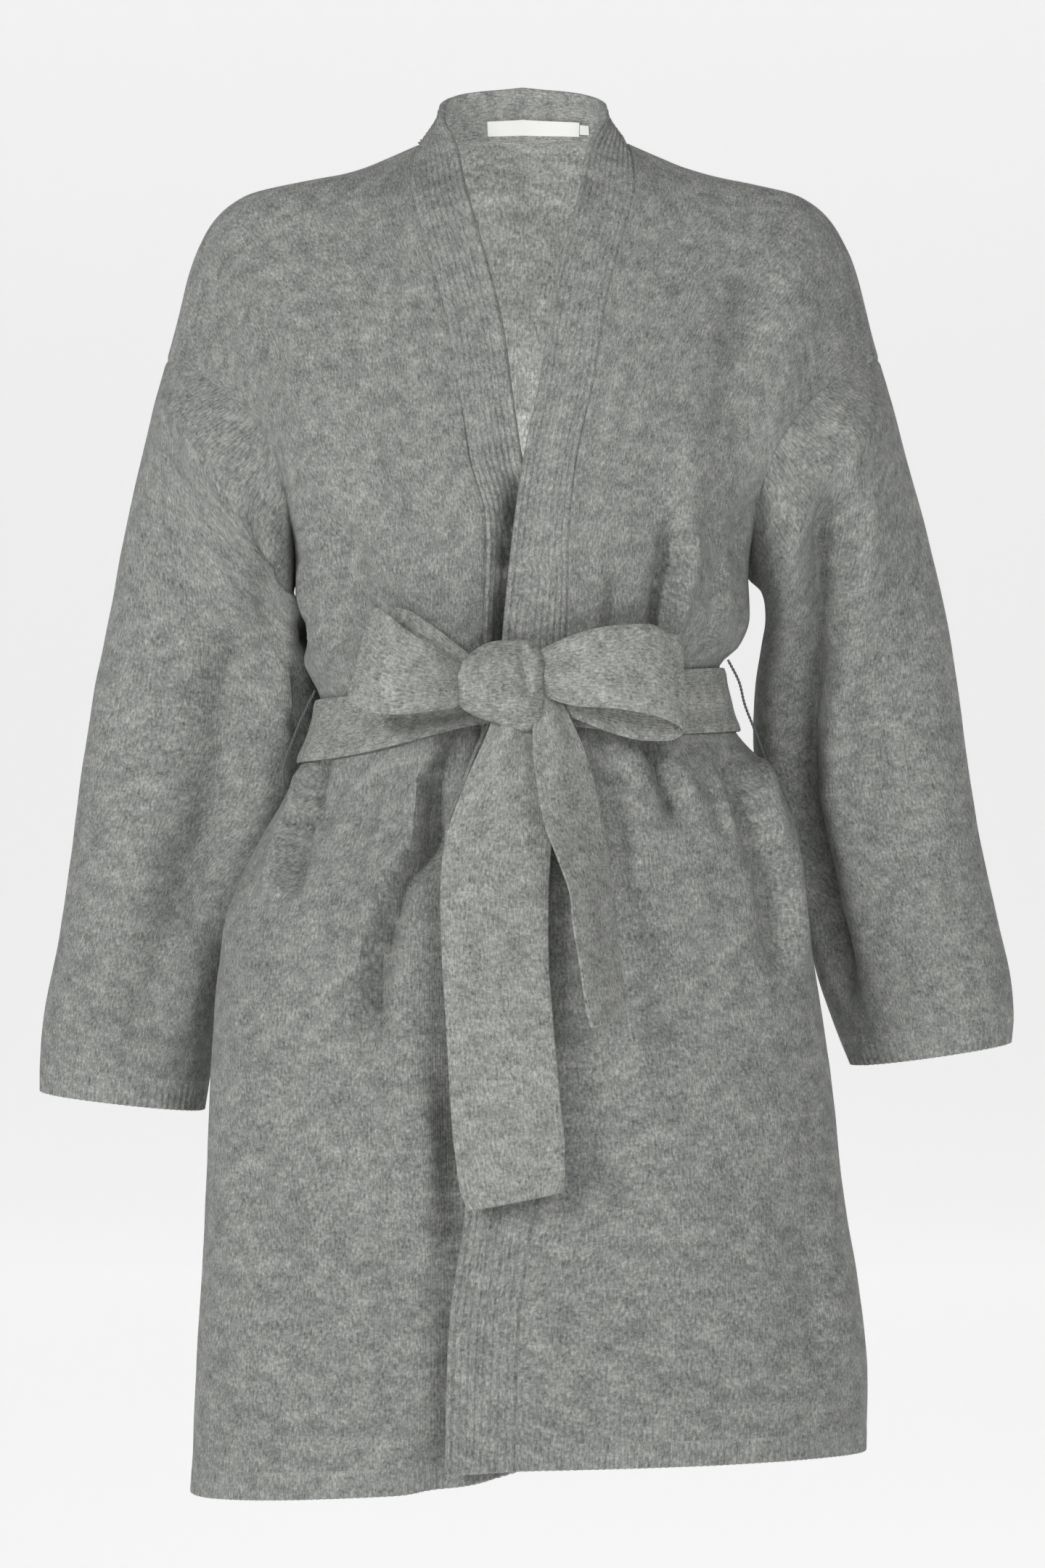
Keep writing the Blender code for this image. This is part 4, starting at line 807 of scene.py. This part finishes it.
# Hems and cuffs are ribs knitted in one with the panel
RIB_SINK = 0.4
RIB_FADE = 0.5
def fine_ribs(grid, normals, closed):
    """The lowest rows of a panel, cut finely enough across for raised ribs."""
    if closed:
        grid = np.concatenate([grid, grid[:, :1]], axis=1)
        normals = np.concatenate([normals, normals[:, :1]], axis=1)
    places = np.concatenate([[0.0], np.cumsum(np.linalg.norm(np.diff(grid, axis=1), axis=2).mean(axis=0))])
    ribs = max(1, round(places[-1] / RIB_PITCH))
    wanted = np.linspace(0, places[-1], ribs * RIB_POINTS + 1)
    if closed:
        wanted = wanted[:-1]
    line = smooth_join(grid.transpose(1, 0, 2), places, wanted).transpose(1, 0, 2)
    turned = unit(smooth_join(normals.transpose(1, 0, 2), places, wanted).transpose(1, 0, 2))
    ridge = 0.5 - 0.5 * np.cos(2 * math.pi * np.arange(len(wanted)) / RIB_POINTS)
    return line, turned, ridge


def add_panel(name, hem_rows, seams, closed=False):
    """A jersey panel with a ribbed hem, its sewn sides drawn in a little at their seams."""
    grid = folded[name]
    facing = normals[name]
    dip = np.zeros(grid.shape[:2])
    across = np.concatenate([[0.0], np.cumsum(np.linalg.norm(np.diff(grid, axis=1), axis=2).mean(axis=0))])
    up = np.cumsum(np.linalg.norm(np.diff(grid[::-1], axis=0), axis=2), axis=0)
    up = np.concatenate([np.zeros((1, grid.shape[1])), up])[::-1]
    if "sides" in seams:
        dip += np.exp(-(across / SEAM_WIDTH) ** 2) + np.exp(-((across[-1] - across) / SEAM_WIDTH) ** 2)
    if "top" in seams:
        dip += np.exp(-(up / SEAM_WIDTH) ** 2)
    outer = grid - facing * SEAM_DIP * np.minimum(dip, 1.0)[..., None]
    inner = grid - facing * WALL
    parts = []
    panel = slice(hem_rows - 1, None)
    points, faces, source = cloth_wall(outer[panel], inner[panel], closed)
    places = cloth_places(grid[panel])[source]
    parts.append((points, faces, places, 0))
    line, turned, ridge = fine_ribs(grid[:hem_rows], facing[:hem_rows], closed)
    fade = np.linspace(1, 0, hem_rows)[:, None] ** RIB_FADE
    raised = line + turned * ((RIB_RISE * ridge - RIB_SINK) * fade)[..., None]
    points, faces, source = cloth_wall(raised, line - turned * WALL, closed)
    places = cloth_places(line)[source]
    parts.append((points, faces, places, 1))
    piece = make_piece(name + "_cloth", parts, [wool_jersey, wool_rib])
    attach(piece, "root")
    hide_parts(name)
    return piece


front_left_piece = add_panel("front_left", len(HEM_ROWS), ("sides", "top"))
front_right_piece = add_panel("front_right", len(HEM_ROWS), ("sides", "top"))
back_piece = add_panel("back", len(HEM_ROWS), ("sides", "top"))
sleeve_right_piece = add_panel("sleeve_right", CUFF_ROWS, ("top",), closed=True)
sleeve_left_piece = add_panel("sleeve_left", CUFF_ROWS, ("top",), closed=True)

# The band's own cloth: the ribs are raised over a plain inside, and the seam side is drawn in
grid = folded["band"]
facing = normals["band"]
ridge = 0.5 - 0.5 * np.cos(2 * math.pi * np.arange(BAND_COLUMNS + 1) / RIB_POINTS)
from_seam = np.linalg.norm(grid - grid[:, -1:], axis=2)
dip = SEAM_DIP * np.exp(-(from_seam / SEAM_WIDTH) ** 2)
low = smooth((BAND_RISE_LOW_Z - grid[..., 2]) / BAND_RISE_FADE)
rise = BAND_RISE + (BAND_RISE_LOW - BAND_RISE) * low
from_edge = np.linalg.norm(grid - grid[:, :1], axis=2)
roll = EDGE_ROLL * np.exp(-((from_edge - EDGE_ROLL_WIDTH) / EDGE_ROLL_WIDTH) ** 2)
outer = grid + facing * (rise * ridge[None, :] + roll - dip)[..., None]
points, faces, source = cloth_wall(outer, grid - facing * WALL, False)
places = cloth_places(grid)[source]
band_piece = make_piece("band_cloth", [(points, faces, places, 0)], [wool_rib])
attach(band_piece, "root")
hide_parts("band")

# Belt
# A tie belt of doubled jersey, turned out as a flat tube, so that its edges are soft folds.
# It goes once round the waist, through two thread loops, and is tied in a bow in front.
BELT_CLEARANCE = 1.0
BELT_THICK = 3.2
BELT_ROWS = 13
BELT_COLUMNS = 220
BELT_EDGE_MM = 3.0
BELT_FILL_STEPS = 5
belt_jersey = heather_wool("heather_wool_belting", "#595c59", "#939591", "#c2c2bd", 1.3, 0.16)


def soft_strip(middle_grid, thick, closed=False):
    """A doubled strip whose long edges taper to a soft fold; rows run along its length."""
    facing = point_normals(middle_grid, False)
    if closed:
        wide = np.concatenate([middle_grid[:, -1:], middle_grid, middle_grid[:, :1]], axis=1)
        facing = unit(np.cross(np.gradient(wide, axis=1)[:, 1:-1], np.gradient(middle_grid, axis=0)))
    across = np.linalg.norm(np.diff(middle_grid, axis=0), axis=2)
    low = np.concatenate([np.zeros((1, across.shape[1])), np.cumsum(across, axis=0)])
    from_edge = np.minimum(low, low[-1] - low)
    half = thick / 2 * (0.45 + 0.55 * smooth(from_edge / BELT_EDGE_MM))[..., None]
    return cloth_wall(middle_grid + facing * half, middle_grid - facing * half, closed)


def belt_piece(name, grid, node, closed=False, thick=BELT_THICK):
    """A belt stretch as a piece, its wales running along it."""
    points, faces, source = soft_strip(grid, thick, closed)
    places = cloth_places(grid)[source][:, ::-1]
    piece = make_piece(name, [(points, faces, places, 0)], [belt_jersey])
    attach(piece, "root")
    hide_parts(node)
    return piece


# The stretch round the waist lies on the body's own sections, pleated a little toward the knot
belt_z = np.linspace(BELT_BOTTOM_Z, BELT_TOP_Z, BELT_ROWS)[:, None]
belt_angle = np.linspace(0, 2 * math.pi, BELT_COLUMNS + 1)[:-1][::-1]
wrap = section_point(belt_z, belt_angle)
wide = np.concatenate([wrap[:, -1:], wrap, wrap[:, :1]], axis=1)
wrap_out = unit(np.cross(np.gradient(wide, axis=1)[:, 1:-1], np.gradient(wrap, axis=0)))
share = np.linspace(0, 1, BELT_ROWS)[:, None]
away = np.abs(wrap[..., 0] - KNOT_X) + np.where(wrap[..., 1] > 0, 200.0, 0.0)
pleats = 1.1 * np.exp(-away / 60) * np.sin(share * math.pi * 5)
swell = 0.5 * np.sin(wrap[..., 0] / 23 + 2 * share) * np.sin(share * math.pi)
wrap = wrap + wrap_out * (BELT_CLEARANCE + BELT_THICK / 2 + 0.4 + pleats + swell)[..., None]
belt_wrap_piece = belt_piece("belt_round_waist", wrap, "belt_wrap", closed=True)

# Bow: each loop goes out along its back layer, folds, and comes back along its front one
LoopRow = namedtuple("LoopRow", "low_x low_z back_low_z high_x high_z back_high_z front_y back_y")
BOW_LEFT = (
    LoopRow(-24.0, -372, -372, -24.0, -356, -354, -120, -117),
    LoopRow(-39.2, -379, -377, -39.2, -352, -343, -123, -117),
    LoopRow(-61.0, -384, -381, -57.0, -342, -329, -136, -116),
    LoopRow(-84.0, -386, -385, -76.0, -331, -317, -141, -113),
    LoopRow(-102.0, -384, -383, -89.0, -320, -315, -133, -110),
    LoopRow(-112.0, -379, -379, -95.0, -316, -315, -124, -112),
)
BOW_RIGHT = (
    LoopRow(-2.0, -368, -372, -2.0, -352, -352, -120, -117),
    LoopRow(11.2, -373, -379, 11.2, -344, -344, -123, -117),
    LoopRow(34.0, -380, -388, 34.0, -334, -333, -136, -117),
    LoopRow(60.0, -382, -398, 60.0, -328, -327, -143, -115),
    LoopRow(84.0, -386, -403, 84.0, -327, -326, -136, -112),
    LoopRow(101.0, -392, -402, 99.0, -334, -333, -125, -111),
)
BOW_LENGTH_STEPS = 90
BOW_CROSS_STEPS = 26
BOW_BULGE = 4.5
BOW_FRONT_Y = -121.0
BOW_PLEAT = 2.2
BOW_PLEAT_REACH = 24.0


def bow_loop(table, tip_x, knot_side_x):
    """The middle of one loop's cloth."""
    back_line = [((r.low_x, r.back_y, r.back_low_z), (r.high_x, r.back_y, r.back_high_z)) for r in table]
    front_line = [((r.low_x, r.front_y, r.low_z), (r.high_x, r.front_y, r.high_z)) for r in table]
    last = table[-1]
    middle_y = (last.front_y + last.back_y) / 2
    tip = ((tip_x, middle_y, (last.low_z + last.back_low_z) / 2),
           (last.high_x + tip_x - last.low_x, middle_y, (last.high_z + last.back_high_z) / 2))
    stations = np.array([*back_line, tip, *front_line[::-1]], dtype=float)
    steps = np.linalg.norm(np.diff(stations.mean(axis=1), axis=0), axis=1)
    places = np.concatenate([[0.0], np.cumsum(steps)])
    ends = smooth_join(stations, places, np.linspace(0, places[-1], BOW_LENGTH_STEPS))
    share = np.linspace(0, 1, BOW_CROSS_STEPS)[:, None, None]
    grid = ends[None, :, 0] * (1 - share) + ends[None, :, 1] * share
    share = share[..., 0]
    front = smooth((BOW_FRONT_Y - grid[..., 1]) / 6)
    reach = np.exp(-np.abs(grid[..., 0] - knot_side_x) / BOW_PLEAT_REACH)
    grid[..., 1] -= front * BOW_BULGE * np.sin(math.pi * share) ** 0.8
    grid[..., 1] += front * BOW_PLEAT * reach * np.sin(share * math.pi * 3.5 + 0.6)
    grid[..., 1] += 0.6 * np.sin(grid[..., 0] / 11 + 5 * share) * np.sin(math.pi * share)
    if table[0].low_x < table[-1].low_x:
        grid = grid[:, ::-1]
    return grid


bow_left_piece = belt_piece("bow_loop_left", bow_loop(BOW_LEFT, -116.0, -40.0), "bow_left")
bow_right_piece = belt_piece("bow_loop_right", bow_loop(BOW_RIGHT, 107.0, 12.0), "bow_right")

# Knot: the belt wraps over the middle of the bow, fuller at its lower left, its right side
# straight, with soft creases where the layers turn under
KNOT_CENTRE = (-14.0, -118.5, -366.0)
KNOT_DEPTH = 18.5
KNOT_FRONT_DEPTH = 24.0
KnotRow = namedtuple("KnotRow", "turn reach")
KNOT_OUTLINE = (
    KnotRow(0, 25.2), KnotRow(28, 30.0), KnotRow(52, 33.0), KnotRow(78, 28.8), KnotRow(105, 27.6),
    KnotRow(130, 27.0), KnotRow(155, 27.6), KnotRow(180, 28.4), KnotRow(208, 28.2), KnotRow(232, 25.4),
    KnotRow(256, 24.4), KnotRow(280, 28.0), KnotRow(300, 34.0), KnotRow(318, 33.0), KnotRow(338, 27.6),
    KnotRow(360, 25.2),
)
KNOT_SQUARE = 2.4
KNOT_WIDER = 1.12
KNOT_TALLER = 1.05
KNOT_TURNS = 96
KNOT_RINGS = 40
KnotCrease = namedtuple("KnotCrease", "x z end_x end_z width depth")
KNOT_CREASES = (
    KnotCrease(-6, 26, -17, 12, 2.8, 5.0),
    KnotCrease(-17, 12, -20, -6, 3.4, 4.0),
    KnotCrease(13, 24, 17, -6, 2.8, 4.5),
    KnotCrease(-18, -12, -4, -20, 2.8, 5.5),
    KnotCrease(-4, -20, 12, -27, 2.8, 5.0),
    KnotCrease(2, 24, 5, 2, 3.6, 2.4),
    KnotCrease(-8, 8, 2, -12, 4.5, 1.6),
)
turn = np.linspace(0, 2 * math.pi, KNOT_TURNS + 1)[:-1]
reach = read_table(KNOT_OUTLINE, np.degrees(turn)).reach
dome = np.linspace(-math.pi / 2, math.pi / 2, KNOT_RINGS + 1)[:, None]
out = np.cos(dome) ** (2 / KNOT_SQUARE)
knot_x = KNOT_WIDER * out * reach * np.cos(turn)
knot_z = KNOT_TALLER * out * reach * np.sin(turn)
front = dome < 0
depth = np.where(front, KNOT_FRONT_DEPTH, KNOT_DEPTH)
knot_y = depth * np.sign(dome) * np.abs(np.sin(dome)) ** (2 / KNOT_SQUARE) + 0 * turn
pressed = 0 * knot_y
for crease in KNOT_CREASES:
    run = np.array([crease.end_x - crease.x, crease.end_z - crease.z], dtype=float)
    t = np.clip(((knot_x - crease.x) * run[0] + (knot_z - crease.z) * run[1]) / (run @ run), 0, 1)
    gap = np.hypot(knot_x - crease.x - t * run[0], knot_z - crease.z - t * run[1])
    pressed = np.maximum(pressed, crease.depth * np.exp(-(gap / crease.width) ** 2))
knot_y += np.where(front, pressed, 0.0)
knot_points = np.stack([knot_x, knot_y, knot_z], axis=-1) + np.array(KNOT_CENTRE)
knot_grid = knot_points[:, ::-1]
layer = knot_grid.shape[0] * knot_grid.shape[1]
knot_faces = wall_faces(knot_grid.shape[0], knot_grid.shape[1], True, 0, True)
knot_places = np.stack([knot_grid[..., 2], knot_grid[..., 0]], axis=-1).reshape(-1, 2)
knot_piece = make_piece("knot_wrap", [(knot_grid.reshape(-1, 3), knot_faces, knot_places, 0)], [belt_jersey])
weld = knot_piece.modifiers.new("closed poles", "WELD")
weld.merge_threshold = 0.02 * MM
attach(knot_piece, "root")
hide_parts("knot")

# Loose ends of the belt: gathered at the knot, full width below, ends sewn and turned
TailRow = namedtuple("TailRow", "left_x left_y left_z right_x right_y right_z")
TAIL_LEFT = (
    TailRow(-35.0, -158, -711, 25.5, -159, -699),
    TailRow(-38.5, -158, -705, 27.5, -159, -693),
    TailRow(-44.0, -156, -674, 27.5, -157, -670),
    TailRow(-47.0, -152, -641, 24.5, -153, -639),
    TailRow(-50.0, -145, -590, 20.0, -146, -590),
    TailRow(-53.0, -138, -543, 17.0, -139, -543),
    TailRow(-54.0, -132, -506, 17.0, -133, -506),
    TailRow(-50.0, -126, -466, 19.0, -128, -466),
    TailRow(-36.0, -122, -427, 15.0, -125, -430),
    TailRow(-23.0, -120, -398, 9.0, -121, -400),
    TailRow(-17.0, -117, -380, 4.0, -117, -382),
)
TAIL_RIGHT = (
    TailRow(45.0, -180, -590, 66.0, -143, -586),
    TailRow(43.0, -180, -584, 68.0, -143, -580),
    TailRow(37.5, -178, -550, 64.0, -138, -548),
    TailRow(33.0, -175, -523, 61.5, -134, -521),
    TailRow(31.0, -171, -503, 59.5, -131, -501),
    TailRow(24.0, -164, -483, 57.0, -128, -481),
    TailRow(15.0, -152, -459, 53.0, -123, -457),
    TailRow(9.0, -140, -425, 45.0, -119, -422),
    TailRow(7.0, -132, -402, 36.0, -118, -398),
    TailRow(7.0, -127, -383, 27.0, -119, -380),
    TailRow(2.0, -121, -368, 14.0, -118, -366),
)
TAIL_CROSS_STEPS = 22
TAIL_STEP = 3.5


def belt_tail(table, bow, pleat, curl):
    """The middle of a loose end's cloth, from its sewn end up into the knot."""
    ends = np.array([((r.left_x, r.left_y, r.left_z), (r.right_x, r.right_y, r.right_z)) for r in table])
    places = np.concatenate([[0.0], np.cumsum(np.linalg.norm(np.diff(ends.mean(axis=1), axis=0), axis=1))])
    wanted = np.linspace(0, places[-1], int(places[-1] / TAIL_STEP))
    ends = smooth_join(ends, places, wanted)
    share = np.linspace(0, 1, TAIL_CROSS_STEPS)
    grid = ends[:, None, 0] * (1 - share[:, None]) + ends[:, None, 1] * share[:, None]
    left = places[-1] - wanted
    grid[..., 1] -= bow * np.sin(math.pi * share)
    grid[..., 1] += pleat * np.exp(-left / 45)[:, None] * np.sin(share * math.pi * 3 + 0.5)
    edges = np.exp(-(share / 0.09) ** 2) + np.exp(-((1 - share) / 0.09) ** 2)
    grid[..., 1] -= curl * edges * smooth(wanted / 60)[:, None]
    grid[..., 1] += 0.8 * np.sin(wanted / 31)[:, None] * np.cos(math.pi * share)
    return grid


def tail_piece(name, node, grid):
    """A loose end as a piece: its length is the rows and its width the columns."""
    turned = grid.transpose(1, 0, 2)
    return belt_piece(name, turned[:, ::-1], node)


tail_left_piece = tail_piece("belt_end_left", "tail_left", belt_tail(TAIL_LEFT, 3.0, 2.5, 0.9))
tail_right_piece = tail_piece("belt_end_right", "tail_right", belt_tail(TAIL_RIGHT, 3.0, 2.0, 0.9))

# Thread loops at the side seams: two plies of wool thread, twisted, sewn above and below the belt
LOOP_THREAD = 1.0
LOOP_PLY_OFFSET = 0.55
LOOP_TWIST_MM = 5.0
LOOP_LEFT = ((-142.3, -14, -368), (-150.5, -15, -385), (-157.5, -16, -402), (-163.5, -17, -420),
             (-163.5, -17, -434))
LOOP_RIGHT = ((141.0, -14, -347), (148.5, -15, -362), (152.5, -16, -378), (159.5, -17, -396),
              (167.5, -17, -418))
LOOP_POINTS = 110
loop_thread = heather_wool("grey_wool_thread", "#4d5153", "#74787a", "#9ea2a1", 1.0, 0.1)
for name, node, route in (("thread_loop_left", "belt_loop_left", LOOP_LEFT),
                          ("thread_loop_right", "belt_loop_right", LOOP_RIGHT)):
    line = along_line(rounded_line(route, 16), np.linspace(0, 1, LOOP_POINTS))
    along = unit(np.gradient(line, axis=0))
    side_way = unit(np.cross(along, np.array([0.0, 1.0, 0.0])))
    up_way = np.cross(side_way, along)
    length = np.linalg.norm(np.diff(line, axis=0), axis=1).sum()
    curve = bpy.data.curves.new(name, "CURVE")
    curve.dimensions = "3D"
    curve.bevel_depth = LOOP_THREAD / 2 * MM
    curve.bevel_resolution = 2
    curve.use_fill_caps = True
    for start in (0.0, math.pi):
        phase = start + np.linspace(0, length / LOOP_TWIST_MM * 2 * math.pi, LOOP_POINTS)[:, None]
        ply = line + LOOP_PLY_OFFSET * (side_way * np.cos(phase) + up_way * np.sin(phase))
        spline = curve.splines.new("POLY")
        spline.points.add(LOOP_POINTS - 1)
        for point, place in zip(spline.points, ply):
            point.co = (*(place * MM), 1.0)
    curve.materials.append(loop_thread)
    piece = bpy.data.objects.new(name, curve)
    bpy.context.scene.collection.objects.link(piece)
    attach(piece, "root")
    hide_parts(node)

# Neck label: a white woven tape sewn flat inside the band at the back, left bare, with a
# small folded tab at its right end
LABEL_THICK = 0.6
LABEL_LIFT = 0.7
LABEL_LEFT_X = -25.0
LABEL_RIGHT_X = 41.0
LABEL_LOW_SHARE = 0.08
LABEL_HIGH_SHARE = 0.38
LABEL_POINTS = 40
TAB_WIDTH = 7.0
TAB_LOW_SHARE = 0.13
TAB_HIGH_SHARE = 0.33
TAB_GAP = 0.6
woven_label = bpy.data.materials.new("white_woven_label")
woven_label.use_nodes = True
tree = woven_label.node_tree
shader = tree.nodes["Principled BSDF"]
shader.inputs["Base Color"].default_value = srgb("#e9e9e6")
shader.inputs["Roughness"].default_value = 0.7
place = add_node(tree, "ShaderNodeUVMap", uv_map="cloth").outputs["UV"]
weave = add_node(tree, "ShaderNodeTexChecker", [("Vector", place)], [("Scale", 1 / (0.5 * MM))]).outputs["Fac"]
bump = add_node(tree, "ShaderNodeBump", [("Height", weave)], [("Strength", 0.3), ("Distance", 0.0002)])
tree.links.new(bump.outputs["Normal"], shader.inputs["Normal"])

band_inside = folded["band"] - normals["band"] * (WALL + LABEL_LIFT)
neck_rows = np.where(folded["band"][:, -1, 1] > 20)[0]
seam_x = folded["band"][neck_rows, -1, 0]


def label_grid(left_x, right_x, low_share, high_share, count, lift):
    """A strip on the band's inside between two places across the back of the neck."""
    wanted = np.interp(np.linspace(right_x, left_x, count), seam_x[::-1], neck_rows[::-1].astype(float))
    rows = []
    for share in np.linspace(low_share, high_share, 5):
        column = (1 - share) * (band_inside.shape[1] - 1)
        low = int(column)
        part = column - low
        line = band_inside[:, low] * (1 - part) + band_inside[:, low + 1] * part
        rows.append(np.stack([np.interp(wanted, np.arange(len(line)), line[:, k]) for k in range(3)], axis=1))
    strip = np.array(rows)[:, ::-1]
    return strip - point_normals(strip, False) * lift


parts = []
for left_x, right_x, low_share, high_share, count, lift in (
        (LABEL_LEFT_X, LABEL_RIGHT_X, LABEL_LOW_SHARE, LABEL_HIGH_SHARE, LABEL_POINTS, 0.0),
        (LABEL_RIGHT_X + TAB_GAP, LABEL_RIGHT_X + TAB_GAP + TAB_WIDTH, TAB_LOW_SHARE, TAB_HIGH_SHARE, 8, 0.0)):
    strip = label_grid(left_x, right_x, low_share, high_share, count, lift)
    facing = point_normals(strip, False)
    points, faces, source = cloth_wall(strip + facing * LABEL_THICK / 2, strip - facing * LABEL_THICK / 2, False)
    parts.append((points, faces, cloth_places(strip)[source], 0))
label_piece = make_piece("neck_label_cloth", parts, [woven_label])
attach(label_piece, "root")
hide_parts("neck_label")

# Studio: a pale sweep of paper, a broad soft light in front and two weaker ones at the sides
paper = bpy.data.materials.new("pale_paper")
paper.use_nodes = True
paper.node_tree.nodes["Principled BSDF"].inputs["Base Color"].default_value = srgb("#efefef")
paper.node_tree.nodes["Principled BSDF"].inputs["Roughness"].default_value = 0.9
paper.node_tree.nodes["Principled BSDF"].inputs["Emission Color"].default_value = srgb("#f4f4f4")
paper.node_tree.nodes["Principled BSDF"].inputs["Emission Strength"].default_value = 0.62
SWEEP_FLOOR_Z = -1.3
SWEEP_RADIUS = 4.0
SWEEP_BACK_Y = 9.0
SWEEP_START_Y = -30.0
SWEEP_HALF = 20.0
sweep_turns = np.linspace(0, math.pi / 2, 40)
sweep_line = [(SWEEP_START_Y, SWEEP_FLOOR_Z)]
sweep_line += [(SWEEP_BACK_Y - SWEEP_RADIUS + SWEEP_RADIUS * math.sin(a),
                SWEEP_FLOOR_Z + SWEEP_RADIUS - SWEEP_RADIUS * math.cos(a)) for a in sweep_turns]
sweep_line += [(SWEEP_BACK_Y, 12.0)]
sweep_points = [(x, y, z) for y, z in sweep_line for x in (-SWEEP_HALF, SWEEP_HALF)]
sweep_faces = [(2 * k, 2 * k + 1, 2 * k + 3, 2 * k + 2) for k in range(len(sweep_line) - 1)]
sweep_mesh = bpy.data.meshes.new("paper_sweep")
sweep_mesh.from_pydata(sweep_points, [], sweep_faces)
sweep_mesh.materials.append(paper)
sweep_mesh.shade_smooth()
sweep = bpy.data.objects.new("paper_sweep", sweep_mesh)
bpy.context.scene.collection.objects.link(sweep)

SoftBox = namedtuple("SoftBox", "name place target size power")
SOFT_BOXES = (
    SoftBox("left", (-2.6, -2.9, 1.3), (0.0, 0.0, -0.3), 1.2, 78.0),
    SoftBox("right", (1.7, -3.5, 1.1), (0.0, 0.0, -0.3), 1.2, 38.0),
    SoftBox("front", (0.1, -3.9, 0.9), (0.0, 0.0, -0.2), 1.6, 13.0),
    SoftBox("top", (0.0, -0.4, 2.4), (0.0, 0.0, -0.4), 1.6, 5.0),
    SoftBox("inner", (0.0, -0.03, -0.33), (0.0, 0.1, -0.12), 0.12, 1.05),
)
for box in SOFT_BOXES:
    lamp = bpy.data.lights.new(box.name, "AREA")
    lamp.shape = "DISK"
    lamp.size = box.size
    lamp.energy = box.power
    light = bpy.data.objects.new(box.name, lamp)
    light.location = box.place
    light.rotation_euler = (Vector(box.target) - Vector(box.place)).to_track_quat("-Z", "Y").to_euler()
    bpy.context.scene.collection.objects.link(light)
world = bpy.data.worlds.new("studio")
world.use_nodes = True
world.node_tree.nodes["Background"].inputs["Color"].default_value = srgb("#f4f4f4")
world.node_tree.nodes["Background"].inputs["Strength"].default_value = 0.07
bpy.context.scene.world = world
bpy.context.scene.view_settings.view_transform = "Standard"
